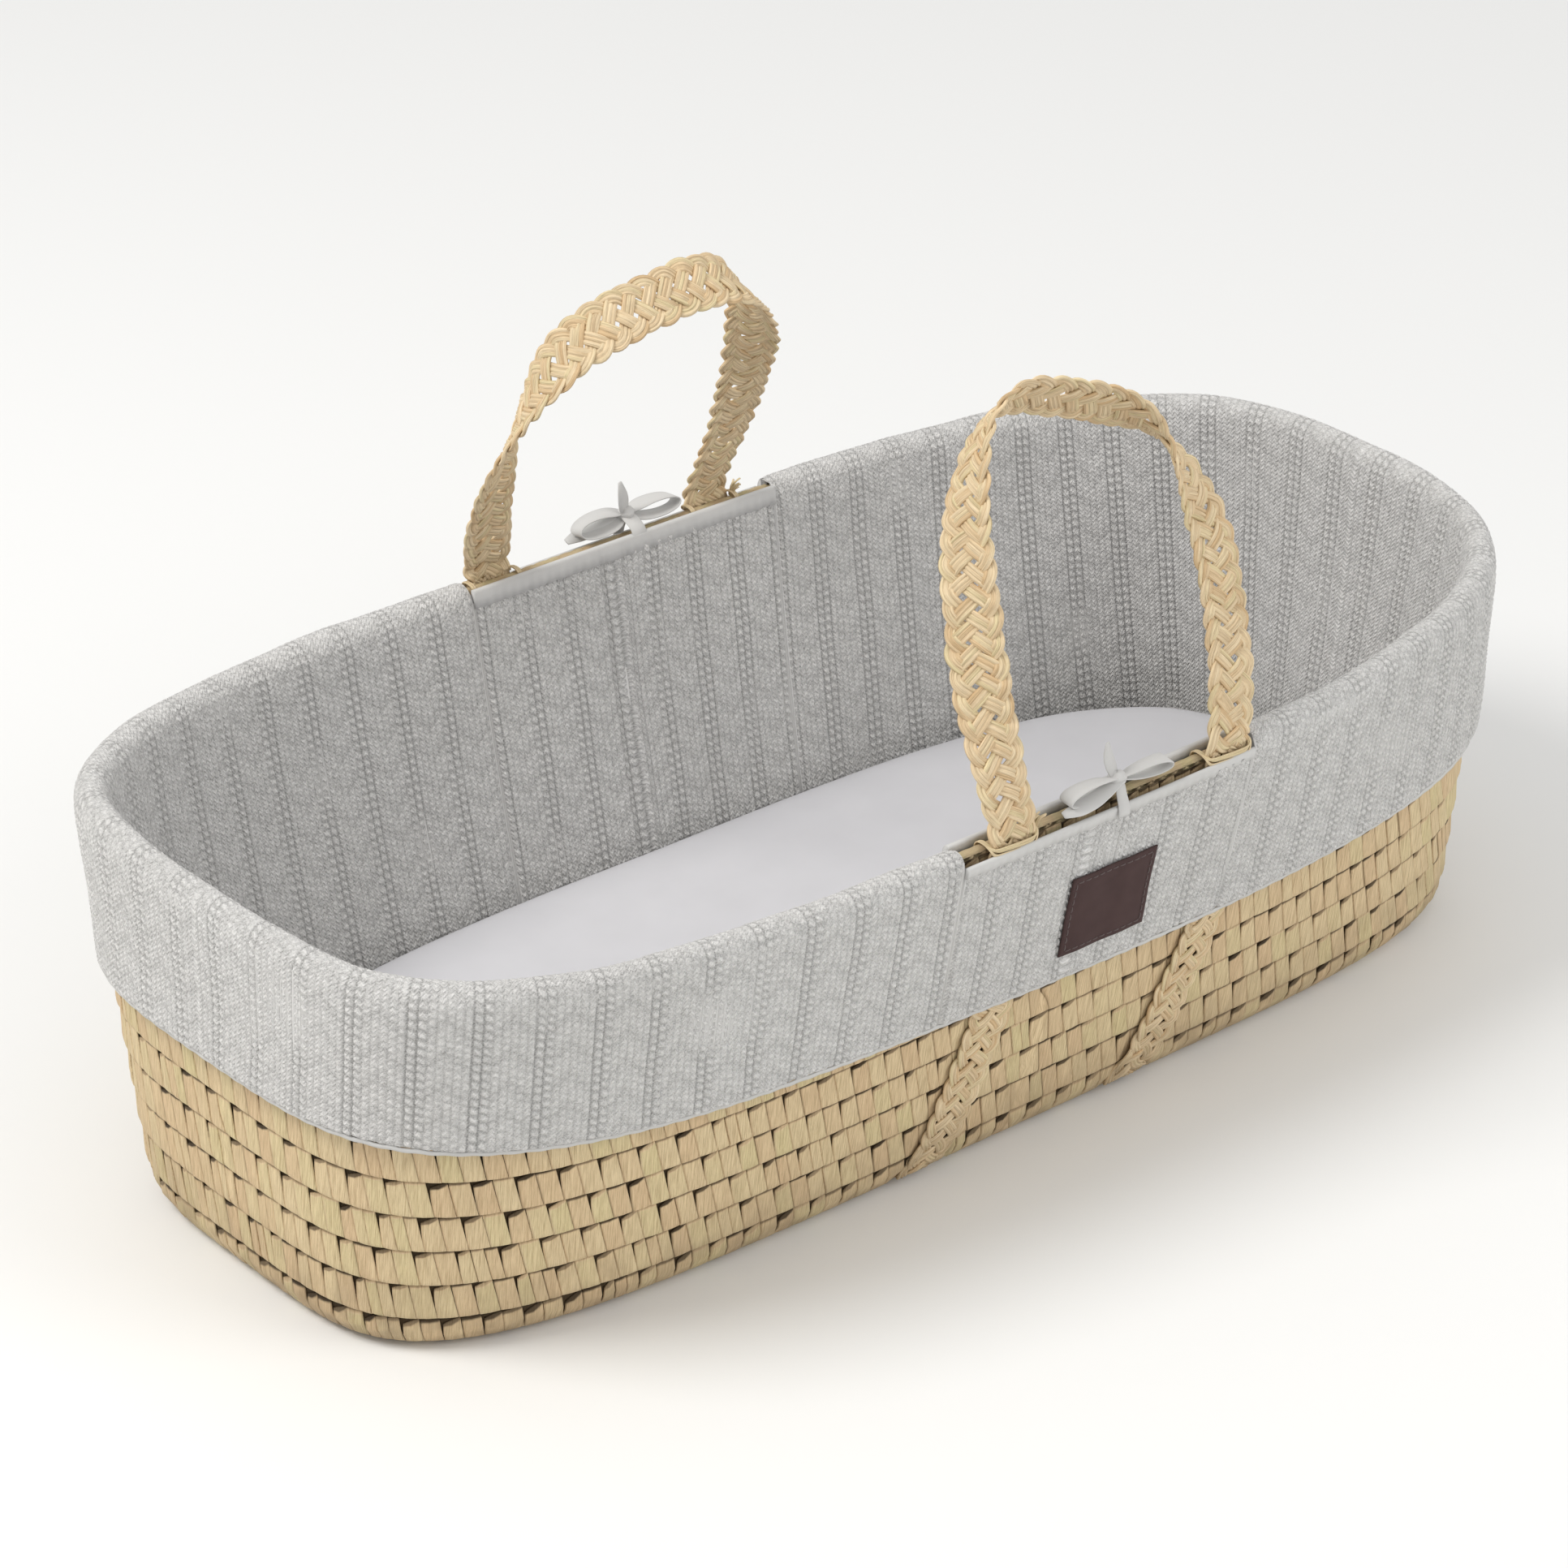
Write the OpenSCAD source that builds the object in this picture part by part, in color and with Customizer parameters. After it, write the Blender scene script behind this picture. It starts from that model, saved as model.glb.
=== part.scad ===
// Moses basket: a woven palm basket with a padded knit cover, two strap handles and a mattress.
// Millimetres. Z is up, X runs along the basket with +X at the head end, and -Y is the near side.
// The origin is the middle of the flat underside.

/* [Palm basket] */
// Length over the rim
rim_length = 836; // [800:1:870]
// Width over the rim
rim_width = 410; // [390:1:430]
// Length of the base
base_length = 788; // [760:1:800]
// Width of the base
base_width = 302; // [290:1:315]
// Height of the rim halfway along
rim_height = 228; // [215:1:245]
// Extra height of the rim at both ends
rim_end_rise = 7; // [0:1:12]
// Thickness of the woven wall
wall_t = 6.4; // [5.6:0.2:6.6]
// Thickness of the woven base
base_t = 8; // [7:0.5:9]
// Outward bow of the wall halfway up
wall_bow = 2.3; // [0:0.1:4]
// Radius of the turn from the base into the wall
edge_r = 14; // [12:1:16]

/* [Knit cover] */
// Thickness of the knit fabric
knit_t = 2; // [1.6:0.1:2.4]
// Thickness of the wadding behind the lining
wadding_t = 2; // [1.6:0.1:2]
// Height of the skirt's hem halfway along
hem_height = 115; // [100:1:130]
// Rise of the hem towards both ends
hem_end_rise = 17; // [0:1:24]
// Drop of the hem at the head end, and rise at the foot end
hem_tilt = 8; // [0:1:12]
// Foot end of the near handle slot
near_slot_foot_x = -88; // [-96:1:-86]
// Foot end of the far handle slot
far_slot_foot_x = -98; // [-104:1:-96]
// Head end of both handle slots
slot_head_x = 119; // [118:1:126]

/* [Straps and handles] */
// Width of the plaited strap
strap_w = 32; // [28:1:34]
// Thickness of the strap on the wall
strap_t = 4; // [3:0.5:4]
// Thickness of the strap in the handles
handle_t = 5; // [4:0.5:6]
// Half the distance between a handle's feet
handle_half_w = 78; // [74:1:80]
// Length of a handle from its hinge line to its top
handle_rise = 196; // [170:1:200]
// Inward lean of the near handle
near_lean = 22; // [10:1:26]
// Inward lean of the far handle
far_lean = 27; // [10:1:28]

/* [Mattress] */
// Length of the made-up mattress
mattress_length = 740; // [700:1:745]
// Width of the made-up mattress
mattress_width = 295; // [280:1:297]
// Height of the mattress top above the floor
mattress_top = 51; // [44:1:56]

/* [Label] */
// Width of the blank label
label_w = 60; // [40:1:64]
// Height of the blank label
label_h = 50; // [30:1:50]

/* [Hidden] */

NEAR = -1;
FAR = 1;
gap = 0.3;
// Squareness of the outlines: 2 is an ellipse and more is squarer
rim_head_power = 3.0;
rim_foot_power = 3.9;
base_head_power = 4.9;
base_foot_power = 4.4;
mattress_power = 3.4;
spread = 3.8;

// Inset of the wall under the cover at the rim
rim_inset = 6.5;
// Sewn courses up the wall, one for each wall_course node
course_count = 10;
wall_top_h = 0.96;
rim_top_h = 0.98;
course_h = [for (i = [0 : course_count]) wall_top_h * i / course_count];

// Layers of the cover, as offsets from the outer face of the palm wall
skirt_in = strap_t + 0.7;
skirt_out = skirt_in + knit_t;
wadding_out = -wall_t - 1.5 * gap;
wadding_in = wadding_out - wadding_t;
lining_out = wadding_in - 2.5 * gap;
lining_in = lining_out - knit_t;
floor_z = base_t + gap;
floor_t = 1.5;

// Heights of the slot edges, as shares of the rim height
skirt_edge_h = 0.922;
skirt_binding_h = 0.962;
lining_edge_h = 0.95;
lining_binding_h = 0.99;

// Hinge line of each handle, along X
hinge_y = rim_width / 2 - rim_inset + 0.2 + strap_t / 2;
hinge_z = rim_height + 4;
strap_end_z = hinge_z - handle_t / 2 - 0.6;

// Strap centres: at the rim, under the skirt's hem and at the base
near_foot_strap = [-54, -42, -64];
near_head_strap = [99, 114, 85];
far_foot_strap = [-77, -70, -64];
far_head_strap = [79, 83, 85];

// Middle, sideways lean and top slope of each handle's arch
near_arch = [23, 21, -30];
far_arch = [1, -32, 13];
arch_power = 3.6;
arch_bulge = 7;

// Most turn of each handle's strap, and how late it comes on from its foot and head ends
near_twist = [-125, 0.7, 4];
far_twist = [112, 1.2, 1.2];

// Middle of both bows
bow_x = 20;

palm = [0.87, 0.76, 0.56];
straw = [0.84, 0.70, 0.44];
knit = [0.80, 0.79, 0.78];
cotton = [0.86, 0.85, 0.83];
wadding = [0.95, 0.95, 0.94];

// ---- Outlines of the wall ----

function signed_pow(v, e) = sign(v) * pow(abs(v), e);
function mix(a, b, s) = a + (b - a) * s;
function power(a, head, foot) = cos(a) >= 0 ? head : foot;

// A point at angle a on a squared oval of length 2 and width 2.
// The spread brings the points closer together at the corners.
function unit_oval(a, n) =
    let (
        x = signed_pow(cos(a), 2 / spread),
        y = signed_pow(sin(a), 2 / spread)
    )
    [x, y] * pow(pow(abs(x), n) + pow(abs(y), n), -1 / n);

function oval(a, length, width, n) =
    let (p = unit_oval(a, n)) [p.x * length / 2, p.y * width / 2];

// The unit normal of the rim outline at angle a
function rim_normal(a) =
    let (
        n = power(a, rim_head_power, rim_foot_power),
        p = unit_oval(a, n),
        normal = [signed_pow(p.x, n - 1) / rim_length, signed_pow(p.y, n - 1) / rim_width]
    )
    normal / norm(normal);

// A point on the level outline at share h of the height, moved outwards by d
function wall_xy(a, h, d) =
    let (
        base_xy = oval(a, base_length, base_width, power(a, base_head_power, base_foot_power)),
        rim_xy = oval(a, rim_length, rim_width, power(a, rim_head_power, rim_foot_power))
    )
    mix(base_xy, rim_xy, h) + d * rim_normal(a);

function rim_z(x) = rim_height + rim_end_rise * pow(abs(2 * x / rim_length), 3);
function hem_z(x) =
    let (u = 2 * x / rim_length) hem_height - hem_tilt * u + hem_end_rise * u * u;

// How far the palm wall's outer face lies outside the straight line from base to rim
function palm_d(h) = 4 * wall_bow * h * (1 - h) - rim_inset * h;

// A point at share h of the rim height there, d outside the palm wall's outer face
function wall_point(a, h, d) =
    let (p = wall_xy(a, h, palm_d(h) + d)) [p.x, p.y, h * rim_z(p.x)];

// A point at height z, d outside the palm wall's outer face
function wall_point_z(a, z, d) =
    let (h = z / rim_z(wall_xy(a, 0.5, 0).x), p = wall_xy(a, h, palm_d(h) + d)) [p.x, p.y, z];

function hem_point(a, d) =
    let (x = wall_xy(a, 0.5, 0).x) wall_point_z(a, hem_z(x), d);

// The angle at which a side of the wall passes x, at share h of the height
function angle_at(x, side, h = 1) =
    let (
        n = x >= 0 ? rim_head_power : rim_foot_power,
        u = 2 * x / mix(base_length, rim_length, h),
        v = pow(1 - pow(abs(u), n), 1 / n),
        a = atan2(1, signed_pow(u / v, spread / 2))
    )
    side > 0 ? a : 360 - a;

function steps(from, to, count) = [for (i = [0 : count]) mix(from, to, i / count)];
near_angles = steps(angle_at(near_slot_foot_x, NEAR), angle_at(slot_head_x, NEAR), 8);
far_angles = steps(angle_at(slot_head_x, FAR), angle_at(far_slot_foot_x, FAR), 8);
foot_angles = steps(angle_at(far_slot_foot_x, FAR), angle_at(near_slot_foot_x, NEAR), 26);
head_angles = steps(angle_at(slot_head_x, NEAR) - 360, angle_at(slot_head_x, FAR), 26);

function all_but_last(list) = [for (i = [0 : len(list) - 2]) list[i]];
full_circle = concat(
    all_but_last(head_angles),
    all_but_last(far_angles),
    all_but_last(foot_angles),
    all_but_last(near_angles)
);

// The same angles, with both ends moved in a little from the seams
function short_of_seams(angles) =
    let (last = len(angles) - 1)
    [
        for (i = [0 : last])
            i == 0 ? mix(angles[0], angles[1], 0.04)
            : i == last ? mix(angles[last], angles[last - 1], 0.04)
            : angles[i]
    ];

// Y of a layer of the far wall at x
function far_y(x, h, d) = wall_point(angle_at(x, FAR), h, d).y;

// ---- Solids from rings of points ----

// Rings hold a face's points and then the points behind it in reverse.
// A closed skin runs all the way round. A lidded one is filled across between its two middle points.
module skin(rings, closed = false, lidded = false) {
    count = len(rings);
    n = len(rings[0]);
    half = n / 2;
    last = closed ? count - 1 : count - 2;
    sides = [
        for (i = [0 : last], j = [0 : n - 1])
            if (!(lidded && j == half - 1))
                let (
                    a = i * n + j,
                    b = i * n + (j + 1) % n,
                    c = (i + 1) % count * n + (j + 1) % n,
                    d = (i + 1) % count * n + j
                )
                each [[a, b, c], [a, c, d]]
    ];
    ends = closed ? [] : [
        for (j = [0 : half - 2])
            let (a = j, b = j + 1, c = n - 2 - j, d = n - 1 - j, e = (count - 1) * n)
            each [[a, c, b], [a, d, c], [a + e, b + e, c + e], [a + e, c + e, d + e]]
    ];
    lids = !lidded ? [] : [
        [for (i = [count - 1 : -1 : 0]) i * n + half - 1],
        [for (i = [0 : count - 1]) i * n + half]
    ];
    polyhedron(points = [for (ring = rings) each ring], faces = concat(sides, ends, lids));
}

// A layer of the wall between two lists of [h, d]: its outer face and its inner face
module layer(angles, outer, inner, closed = false) {
    section = concat(outer, reverse(inner));
    skin([for (a = angles) [for (s = section) wall_point(a, s[0], s[1])]], closed);
}

function reverse(list) = [for (i = [len(list) - 1 : -1 : 0]) list[i]];

// A rectangular patch of a side wall, from offset d0 to d1
module wall_patch(side, x0, x1, z0, z1, d0, d1, count = 1) {
    skin([
        for (x = steps(x0, x1, count))
            let (a = angle_at(x, side, (z0 + z1) / 2 / rim_height))
            [
                wall_point_z(a, z0, d1), wall_point_z(a, z1, d1),
                wall_point_z(a, z1, d0), wall_point_z(a, z0, d0)
            ]
    ]);
}

// A prism on the level outline at the base, moved outwards by d
module floor_plate(d, z, height) {
    translate([0, 0, z])
        linear_extrude(height = height)
            polygon([for (a = full_circle) wall_xy(a, 0, d)]);
}

// ---- Palm basket ----

module base_panel() {
    color(palm)
        difference() {
            floor_plate(-edge_r - gap, 0, base_t);
            for (x = [near_foot_strap[2], near_head_strap[2]])
                translate([x - strap_w / 2 - gap, -base_width, -1])
                    cube([strap_w + 2 * gap, 2 * base_width, strap_t + gap + 1]);
        }
}

// The lowest course turns from the base into the wall
module edge_course() {
    turn = [0, 30, 60, 90];
    inner_r = edge_r - base_t;
    top = course_h[1];
    color(palm)
        difference() {
            skin([
                for (a = full_circle)
                    concat(
                        [for (b = turn) wall_point_z(a, edge_r * (1 - cos(b)), edge_r * (sin(b) - 1))],
                        [wall_point(a, top, 0), wall_point(a, top, -wall_t)],
                        [
                            for (b = reverse(turn))
                                wall_point_z(
                                    a,
                                    edge_r - inner_r * cos(b),
                                    (edge_r - wall_t) * sin(b) - edge_r
                                )
                        ]
                    )
            ], closed = true);
            strap(near_foot_strap, far_foot_strap, gap);
            strap(near_head_strap, far_head_strap, gap);
        }
}

module wall_course(i) {
    low = course_h[i - 1];
    high = course_h[i];
    color(palm)
        layer(full_circle, [[low, 0], [high, 0]], [[low, -wall_t], [high, -wall_t]], closed = true);
}

module rim_binding() {
    color(straw)
        layer(
            full_circle,
            [[wall_top_h, 0], [rim_top_h, -0.6]],
            [[wall_top_h, -wall_t], [rim_top_h, -wall_t + 0.6]],
            closed = true
        );
}

// ---- Straps under the base and up both sides ----

// Centre of a strap at share h of the height, from its three given places
function strap_x(places, h) =
    h > 0.45 ? mix(places[1], places[0], (h - 0.45) / 0.55) : mix(places[2], places[1], h / 0.45);

// The four corners of a strap's section, grown by g, on one side wall
function strap_ring(side, places, z, g) =
    let (
        x = strap_x(places, z / rim_height),
        half = strap_w / 2 + g,
        a = angle_at(x - half, side, z / rim_height),
        b = angle_at(x + half, side, z / rim_height),
        low = 0.2,
        high = strap_t + 0.2 + g
    )
    [
        wall_point_z(a, z, high), wall_point_z(b, z, high),
        wall_point_z(b, z, low), wall_point_z(a, z, low)
    ];

// The strap's section where it turns under the base, t degrees round from level
function strap_turn(side, x, t, g) =
    let (
        half = strap_w / 2 + g,
        r = edge_r + strap_t + 0.2,
        mid_y = base_width / 2 - edge_r + 2,
        r_out = r + g,
        r_in = r - strap_t - g,
        outer = [side * (mid_y + r_out * sin(t)), r - r_out * cos(t)],
        inner = [side * (mid_y + r_in * sin(t)), r - r_in * cos(t)]
    )
    [
        [x - half, outer[0], outer[1]], [x + half, outer[0], outer[1]],
        [x + half, inner[0], inner[1]], [x - half, inner[0], inner[1]]
    ];

module strap(near_places, far_places, g = 0) {
    levels = [for (h = [0.1 : 0.12 : 0.94]) h * rim_height];
    wall_levels = concat(levels, [strap_end_z]);
    turn = [0, 25, 50, 75];
    skin(concat(
        [for (z = reverse(wall_levels)) strap_ring(NEAR, near_places, z, g)],
        [for (t = reverse(turn)) strap_turn(NEAR, near_places[2], t, g)],
        [for (t = turn) strap_turn(FAR, far_places[2], t, g)],
        [for (z = wall_levels) strap_ring(FAR, far_places, z, g)]
    ));
}

module strap_foot() {
    color(straw) strap(near_foot_strap, far_foot_strap);
}

module strap_head() {
    color(straw) strap(near_head_strap, far_head_strap);
}

// A raffia lashing that holds a strap to the palm rim: a band across the strap and two staples
module lashing(side, x) {
    t = 1.4;
    rim_top = rim_top_h * rim_height;
    out_y = far_y(x, rim_top_h, strap_t + 1.2);
    in_y = far_y(x, rim_top_h, -wall_t - 1.2);
    half = strap_w / 2 + 0.8;
    staple_top = rim_top + 2;
    color(straw)
        scale([1, side, 1])
            union() {
                translate([x - half - t, out_y, rim_top - 3])
                    cube([2 * (half + t), t, staple_top - rim_top + 3]);
                for (sx = [x - half - t, x + half]) {
                    translate([sx, in_y, rim_top + 0.6])
                        cube([t, out_y - in_y + t / 2, staple_top - rim_top - 0.6]);
                    translate([sx, in_y - t, rim_top - 4])
                        cube([t, t, staple_top - rim_top + 4]);
                }
            }
}

// ---- Handles ----

// Centre line of an arch in its own plane: [along X, up the arch], at angle a from 180 to 0
function arch_point(a, arch) =
    let (
        v = pow(sin(a), 2 / arch_power),
        c = signed_pow(cos(a), 2 / arch_power)
    )
    [
        arch[0] + arch[1] * v + c * (handle_half_w + 4 * arch_bulge * v * (1 - v)),
        handle_rise * v + arch[2] * c * v
    ];

// Turn of the strap about its own length: none at the feet, most across the top
function strap_turn_at(a, twist) = twist[0] * pow(sin(a), a > 90 ? twist[1] : twist[2]);

// The strap's section on the arch, with softened edges. It is level at the feet.
function arch_ring(a, arch, twist, side, lean) =
    let (
        p = arch_point(a, arch),
        q = arch_point(min(a + 0.5, 180), arch),
        r = arch_point(max(a - 0.5, 0), arch),
        up = p[1] / handle_rise,
        upright = [0, a > 90 ? 1 : -1],
        along = mix(upright, (r - q) / norm(r - q), min(1, up / 0.12)),
        dir = along / norm(along),
        inward = [dir[1], -dir[0]],
        turn = strap_turn_at(a, twist),
        n = [sin(turn) * inward[0], -cos(turn), sin(turn) * inward[1]],
        w = [cos(turn) * inward[0], sin(turn), cos(turn) * inward[1]],
        centre = [p[0], 0, p[1]],
        ht = handle_t / 2,
        hw = strap_w / 2
    )
    [
        for (k = [[1.5 - hw, ht], [-hw, ht * 0.3], [-hw, -ht * 0.3], [1.5 - hw, -ht],
                  [hw - 1.5, -ht], [hw, -ht * 0.3], [hw, ht * 0.3], [hw - 1.5, ht]])
            leaned(centre + k[0] * w + k[1] * n, side, lean)
    ];

// A point of an upright arch after it leans in over the basket, on its hinge line
function leaned(p, side, lean) =
    [
        p.x,
        side * (hinge_y - p.z * sin(lean)) + p.y * cos(lean),
        hinge_z + p.z * cos(lean) + side * p.y * sin(lean)
    ];

module handle(side, arch, twist, lean) {
    angles = concat([180, 179.9], [for (a = [177 : -4 : 3]) a], [0.1, 0]);
    color(straw)
        union() {
            skin([for (a = angles) arch_ring(a, arch, twist, side, lean)]);
            for (sx = [-1, 1])
                translate([arch[0] + sx * handle_half_w, side * hinge_y, hinge_z])
                    rotate([0, 90, 0])
                        cylinder(h = strap_w, d = handle_t, center = true, $fn = 32);
        }
}

// ---- Knit cover ----

// Fold of the cover over the rim, as [h, d] from the skirt's side to the lining's side
function rim_fold(inset) =
    [
        [0.965, skirt_out - inset],
        [mix(0.99, 0.982, inset / knit_t), skirt_out - 1.5 - 0.5 * inset],
        [mix(1, 0.99, inset / knit_t), skirt_out - 5 - 0.5 * inset],
        [mix(1, 0.99, inset / knit_t), lining_in + 5 + 0.5 * inset],
        [mix(0.99, 0.982, inset / knit_t), lining_in + 1.5 + 0.5 * inset],
        [0.965, lining_in + inset]
    ];

// Levels of the lining from the rim down to the cover's floor
lining_levels = [0.75, 0.5, 0.25];
lining_foot_z = floor_z + floor_t + gap;

function cover_face(a, inset) =
    concat(
        [hem_point(a, skirt_out - inset)],
        [wall_point(a, 0.75, skirt_out - inset)],
        [for (s = rim_fold(inset)) wall_point(a, s[0], s[1])],
        [for (h = lining_levels) wall_point(a, h, lining_in + inset)],
        [wall_point_z(a, lining_foot_z, lining_in + inset)]
    );

// One end of the cover: skirt, padded rim and lining in one piece
module cover_end(angles) {
    color(knit)
        skin([for (a = angles) concat(cover_face(a, 0), reverse(cover_face(a, knit_t)))]);
}

// The skirt below a handle slot
module cover_skirt(angles) {
    color(knit)
        skin([
            for (a = angles)
                [
                    hem_point(a, skirt_out), wall_point(a, 0.75, skirt_out),
                    wall_point(a, skirt_edge_h, skirt_out), wall_point(a, skirt_edge_h, skirt_in),
                    wall_point(a, 0.75, skirt_in), hem_point(a, skirt_in)
                ]
        ]);
}

// The lining below a handle slot
module cover_lining(angles) {
    levels = reverse(concat([lining_edge_h], lining_levels));
    color(knit)
        skin([
            for (a = angles)
                concat(
                    [wall_point_z(a, lining_foot_z, lining_out)],
                    [for (h = levels) wall_point(a, h, lining_out)],
                    [for (h = reverse(levels)) wall_point(a, h, lining_in)],
                    [wall_point_z(a, lining_foot_z, lining_in)]
                )
        ]);
}

module cover_floor() {
    color(cotton) floor_plate(-edge_r + 2.4, floor_z, floor_t);
}

// A cotton binding on a slot edge, kept just short of both seams
module slot_binding(angles, low, high, d_out, d_in) {
    color(cotton)
        layer(
            short_of_seams(angles),
            [[low, d_out], [high - 0.008, d_out], [high, d_out - knit_t / 4]],
            [[low, d_in], [high - 0.008, d_in], [high, d_in + knit_t / 4]]
        );
}

module skirt_binding(angles) {
    slot_binding(angles, skirt_edge_h, skirt_binding_h, skirt_out + 0.4, skirt_in);
}

module lining_binding(angles) {
    slot_binding(angles, lining_edge_h, lining_binding_h, lining_out, lining_in - 0.4);
}

module hem_elastic() {
    width = 4;
    color(cotton)
        skin([
            for (a = full_circle)
                let (x = wall_xy(a, 0.5, 0).x, z = hem_z(x))
                [
                    wall_point_z(a, z - width, skirt_out - 0.4), wall_point_z(a, z - gap, skirt_out - 0.4),
                    wall_point_z(a, z - gap, skirt_in), wall_point_z(a, z - width, skirt_in)
                ]
        ], closed = true);
}

// Wadding between the lining and the palm wall, kept just short of both seams
module padding(angles) {
    levels = [0.12, 0.25, 0.5, 0.75, 0.945];
    color(wadding)
        layer(
            short_of_seams(angles),
            [for (h = levels) [h, wadding_out]],
            [for (h = levels) [h, wadding_in]]
        );
}

// ---- Ribbon ties of the bows ----

ribbon_t = 1;
ribbon_w = 10;
knot_y = hinge_y - 2;
knot_z = rim_height + 5;
ribbon_z = rim_height;

// The skirt's ribbon: up from the skirt binding and over the slot, with a loop and a tail
module tie_skirt(side) {
    out = far_y(bow_x, skirt_binding_h, skirt_out + 0.7);
    foot = skirt_edge_h * rim_height;
    color(cotton)
        scale([1, side, 1])
            union() {
                translate([bow_x - ribbon_w / 2, out, foot])
                    cube([ribbon_w, ribbon_t, ribbon_z - foot + ribbon_t]);
                translate([bow_x - ribbon_w / 2, knot_y + gap, ribbon_z])
                    cube([ribbon_w, out - knot_y, ribbon_t]);
                translate([bow_x - 9, knot_y + gap, ribbon_z]) cube([5, 3, 2.5]);
                translate([bow_x - 5, knot_y, ribbon_z + 1.5]) rotate([0, 0, 180]) bow_half();
                translate([bow_x, out - 5, ribbon_z]) cube([15, 5 + ribbon_t, ribbon_t]);
                translate([bow_x + 7, out, ribbon_z - 24]) cube([8, ribbon_t, 24.5]);
            }
}

// The lining's ribbon: up from the lining binding, with the knot, the other loop and a tail
module tie_lining(side) {
    in = far_y(bow_x, lining_edge_h, lining_in - 0.6) - ribbon_t;
    foot = lining_edge_h * rim_height;
    color(cotton)
        scale([1, side, 1])
            union() {
                translate([bow_x - ribbon_w / 2, in, foot])
                    cube([ribbon_w, ribbon_t, ribbon_z - foot + ribbon_t]);
                translate([bow_x - ribbon_w / 2, in, ribbon_z])
                    cube([ribbon_w, knot_y - in, ribbon_t]);
                translate([bow_x - 3, knot_y - 4, ribbon_z]) cube([6, 3.5, 4]);
                translate([bow_x, knot_y, knot_z + 0.6])
                    rotate([90, 0, 0])
                        cylinder(d = 8, h = 7, center = true, $fn = 32);
                translate([bow_x + 2, knot_y, ribbon_z + 1.5]) bow_half();
                translate([bow_x - 5, knot_y - 1.5, knot_z]) cube([8, ribbon_t, 20]);
            }
}

// Half of a bow: a flat loop drawn as a rounded outline, open in the middle
module bow_half() {
    length = 34;
    translate([0, -5, 0])
        linear_extrude(height = 9)
            difference() {
                hull() {
                    translate([1, 5]) circle(d = 2, $fn = 24);
                    translate([length - 5, 5]) circle(d = 9, $fn = 32);
                }
                hull() {
                    translate([6, 5]) circle(d = 1, $fn = 24);
                    translate([length - 5, 5]) circle(d = 6.6, $fn = 32);
                }
            }
}

// ---- Label ----

label_x = near_arch[0];
label_z = 157;

module label_patch() {
    color([0.30, 0.24, 0.24])
        wall_patch(
            NEAR, label_x - label_w / 2, label_x + label_w / 2,
            label_z - label_h / 2, label_z + label_h / 2, skirt_out + 0.2, skirt_out + 1.4, 4
        );
}

module label_stitches() {
    inset = 3;
    stitch = 3.2;
    thread = 0.7;
    across = 11;
    up = 9;
    half_w = label_w / 2 - inset;
    half_h = label_h / 2 - inset;
    color([0.42, 0.35, 0.34])
        union() {
            for (i = [0 : across - 1], z = [-half_h, half_h])
                let (x = label_x + mix(-half_w, half_w, (i + 0.5) / across))
                wall_patch(
                    NEAR, x - stitch / 2, x + stitch / 2, label_z + z - thread / 2,
                    label_z + z + thread / 2, skirt_out + 1.45, skirt_out + 1.8
                );
            for (i = [0 : up - 1], x = [-half_w, half_w])
                let (z = label_z + mix(-half_h, half_h, (i + 0.5) / up))
                wall_patch(
                    NEAR, label_x + x - thread / 2, label_x + x + thread / 2, z - stitch / 2,
                    z + stitch / 2, skirt_out + 1.45, skirt_out + 1.8
                );
        }
}

// ---- Mattress ----

sheet_t = 0.8;
ticking_t = 1.2;
mattress_bottom = lining_foot_z;
edge_soft = 7;
side_taper = 8;

// A point on the mattress outline at angle a and height z, moved inwards by d
function mattress_point(a, z, d) =
    let (
        up = (z - mattress_bottom) / (mattress_top - mattress_bottom),
        inset = d + side_taper * (1 - up),
        p = oval(a, mattress_length - 2 * inset, mattress_width - 2 * inset, mattress_power)
    )
    [p.x, p.y, z];

// The side of the mattress seen from outside, shrunk by d on every face
function mattress_side(a, d) =
    let (low = mattress_bottom + d, high = mattress_top - d)
    [
        mattress_point(a, low, d + 5), mattress_point(a, low + 5, d),
        mattress_point(a, high - edge_soft, d), mattress_point(a, high - 2, d + 2),
        mattress_point(a, high, d + edge_soft)
    ];

module mattress_core() {
    d = sheet_t + ticking_t + 0.4;
    color([0.96, 0.93, 0.82])
        stacked([for (a = full_circle) mattress_side(a, d)]);
}

// A solid between the first and last points of its rings, capped at both ends
module stacked(rings) {
    n = len(rings[0]);
    count = len(rings);
    sides = [
        for (i = [0 : count - 1], j = [0 : n - 2])
            let (a = i * n + j, b = a + 1, d = (i + 1) % count * n + j, c = d + 1)
            each [[a, b, c], [a, c, d]]
    ];
    caps = [
        [for (i = [0 : count - 1]) i * n],
        [for (i = [count - 1 : -1 : 0]) i * n + n - 1]
    ];
    polyhedron(points = [for (ring = rings) each ring], faces = concat(sides, caps));
}

// A fabric tray turned over the mattress: sides and top in one piece
module fabric_case(d, t) {
    skin([
        for (a = full_circle) concat(mattress_side(a, d), reverse(mattress_side(a, d + t)))
    ], closed = true, lidded = true);
}

module mattress_ticking() {
    d = sheet_t + 0.2;
    bottom = mattress_bottom + d;
    color([0.93, 0.93, 0.95]) {
        fabric_case(d, ticking_t);
        translate([0, 0, bottom])
            linear_extrude(height = ticking_t)
                polygon([for (a = full_circle) let (p = mattress_point(a, bottom, d + 8)) [p.x, p.y]]);
    }
}

module fitted_sheet() {
    color([0.85, 0.84, 0.87]) fabric_case(0, sheet_t);
}

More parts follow.
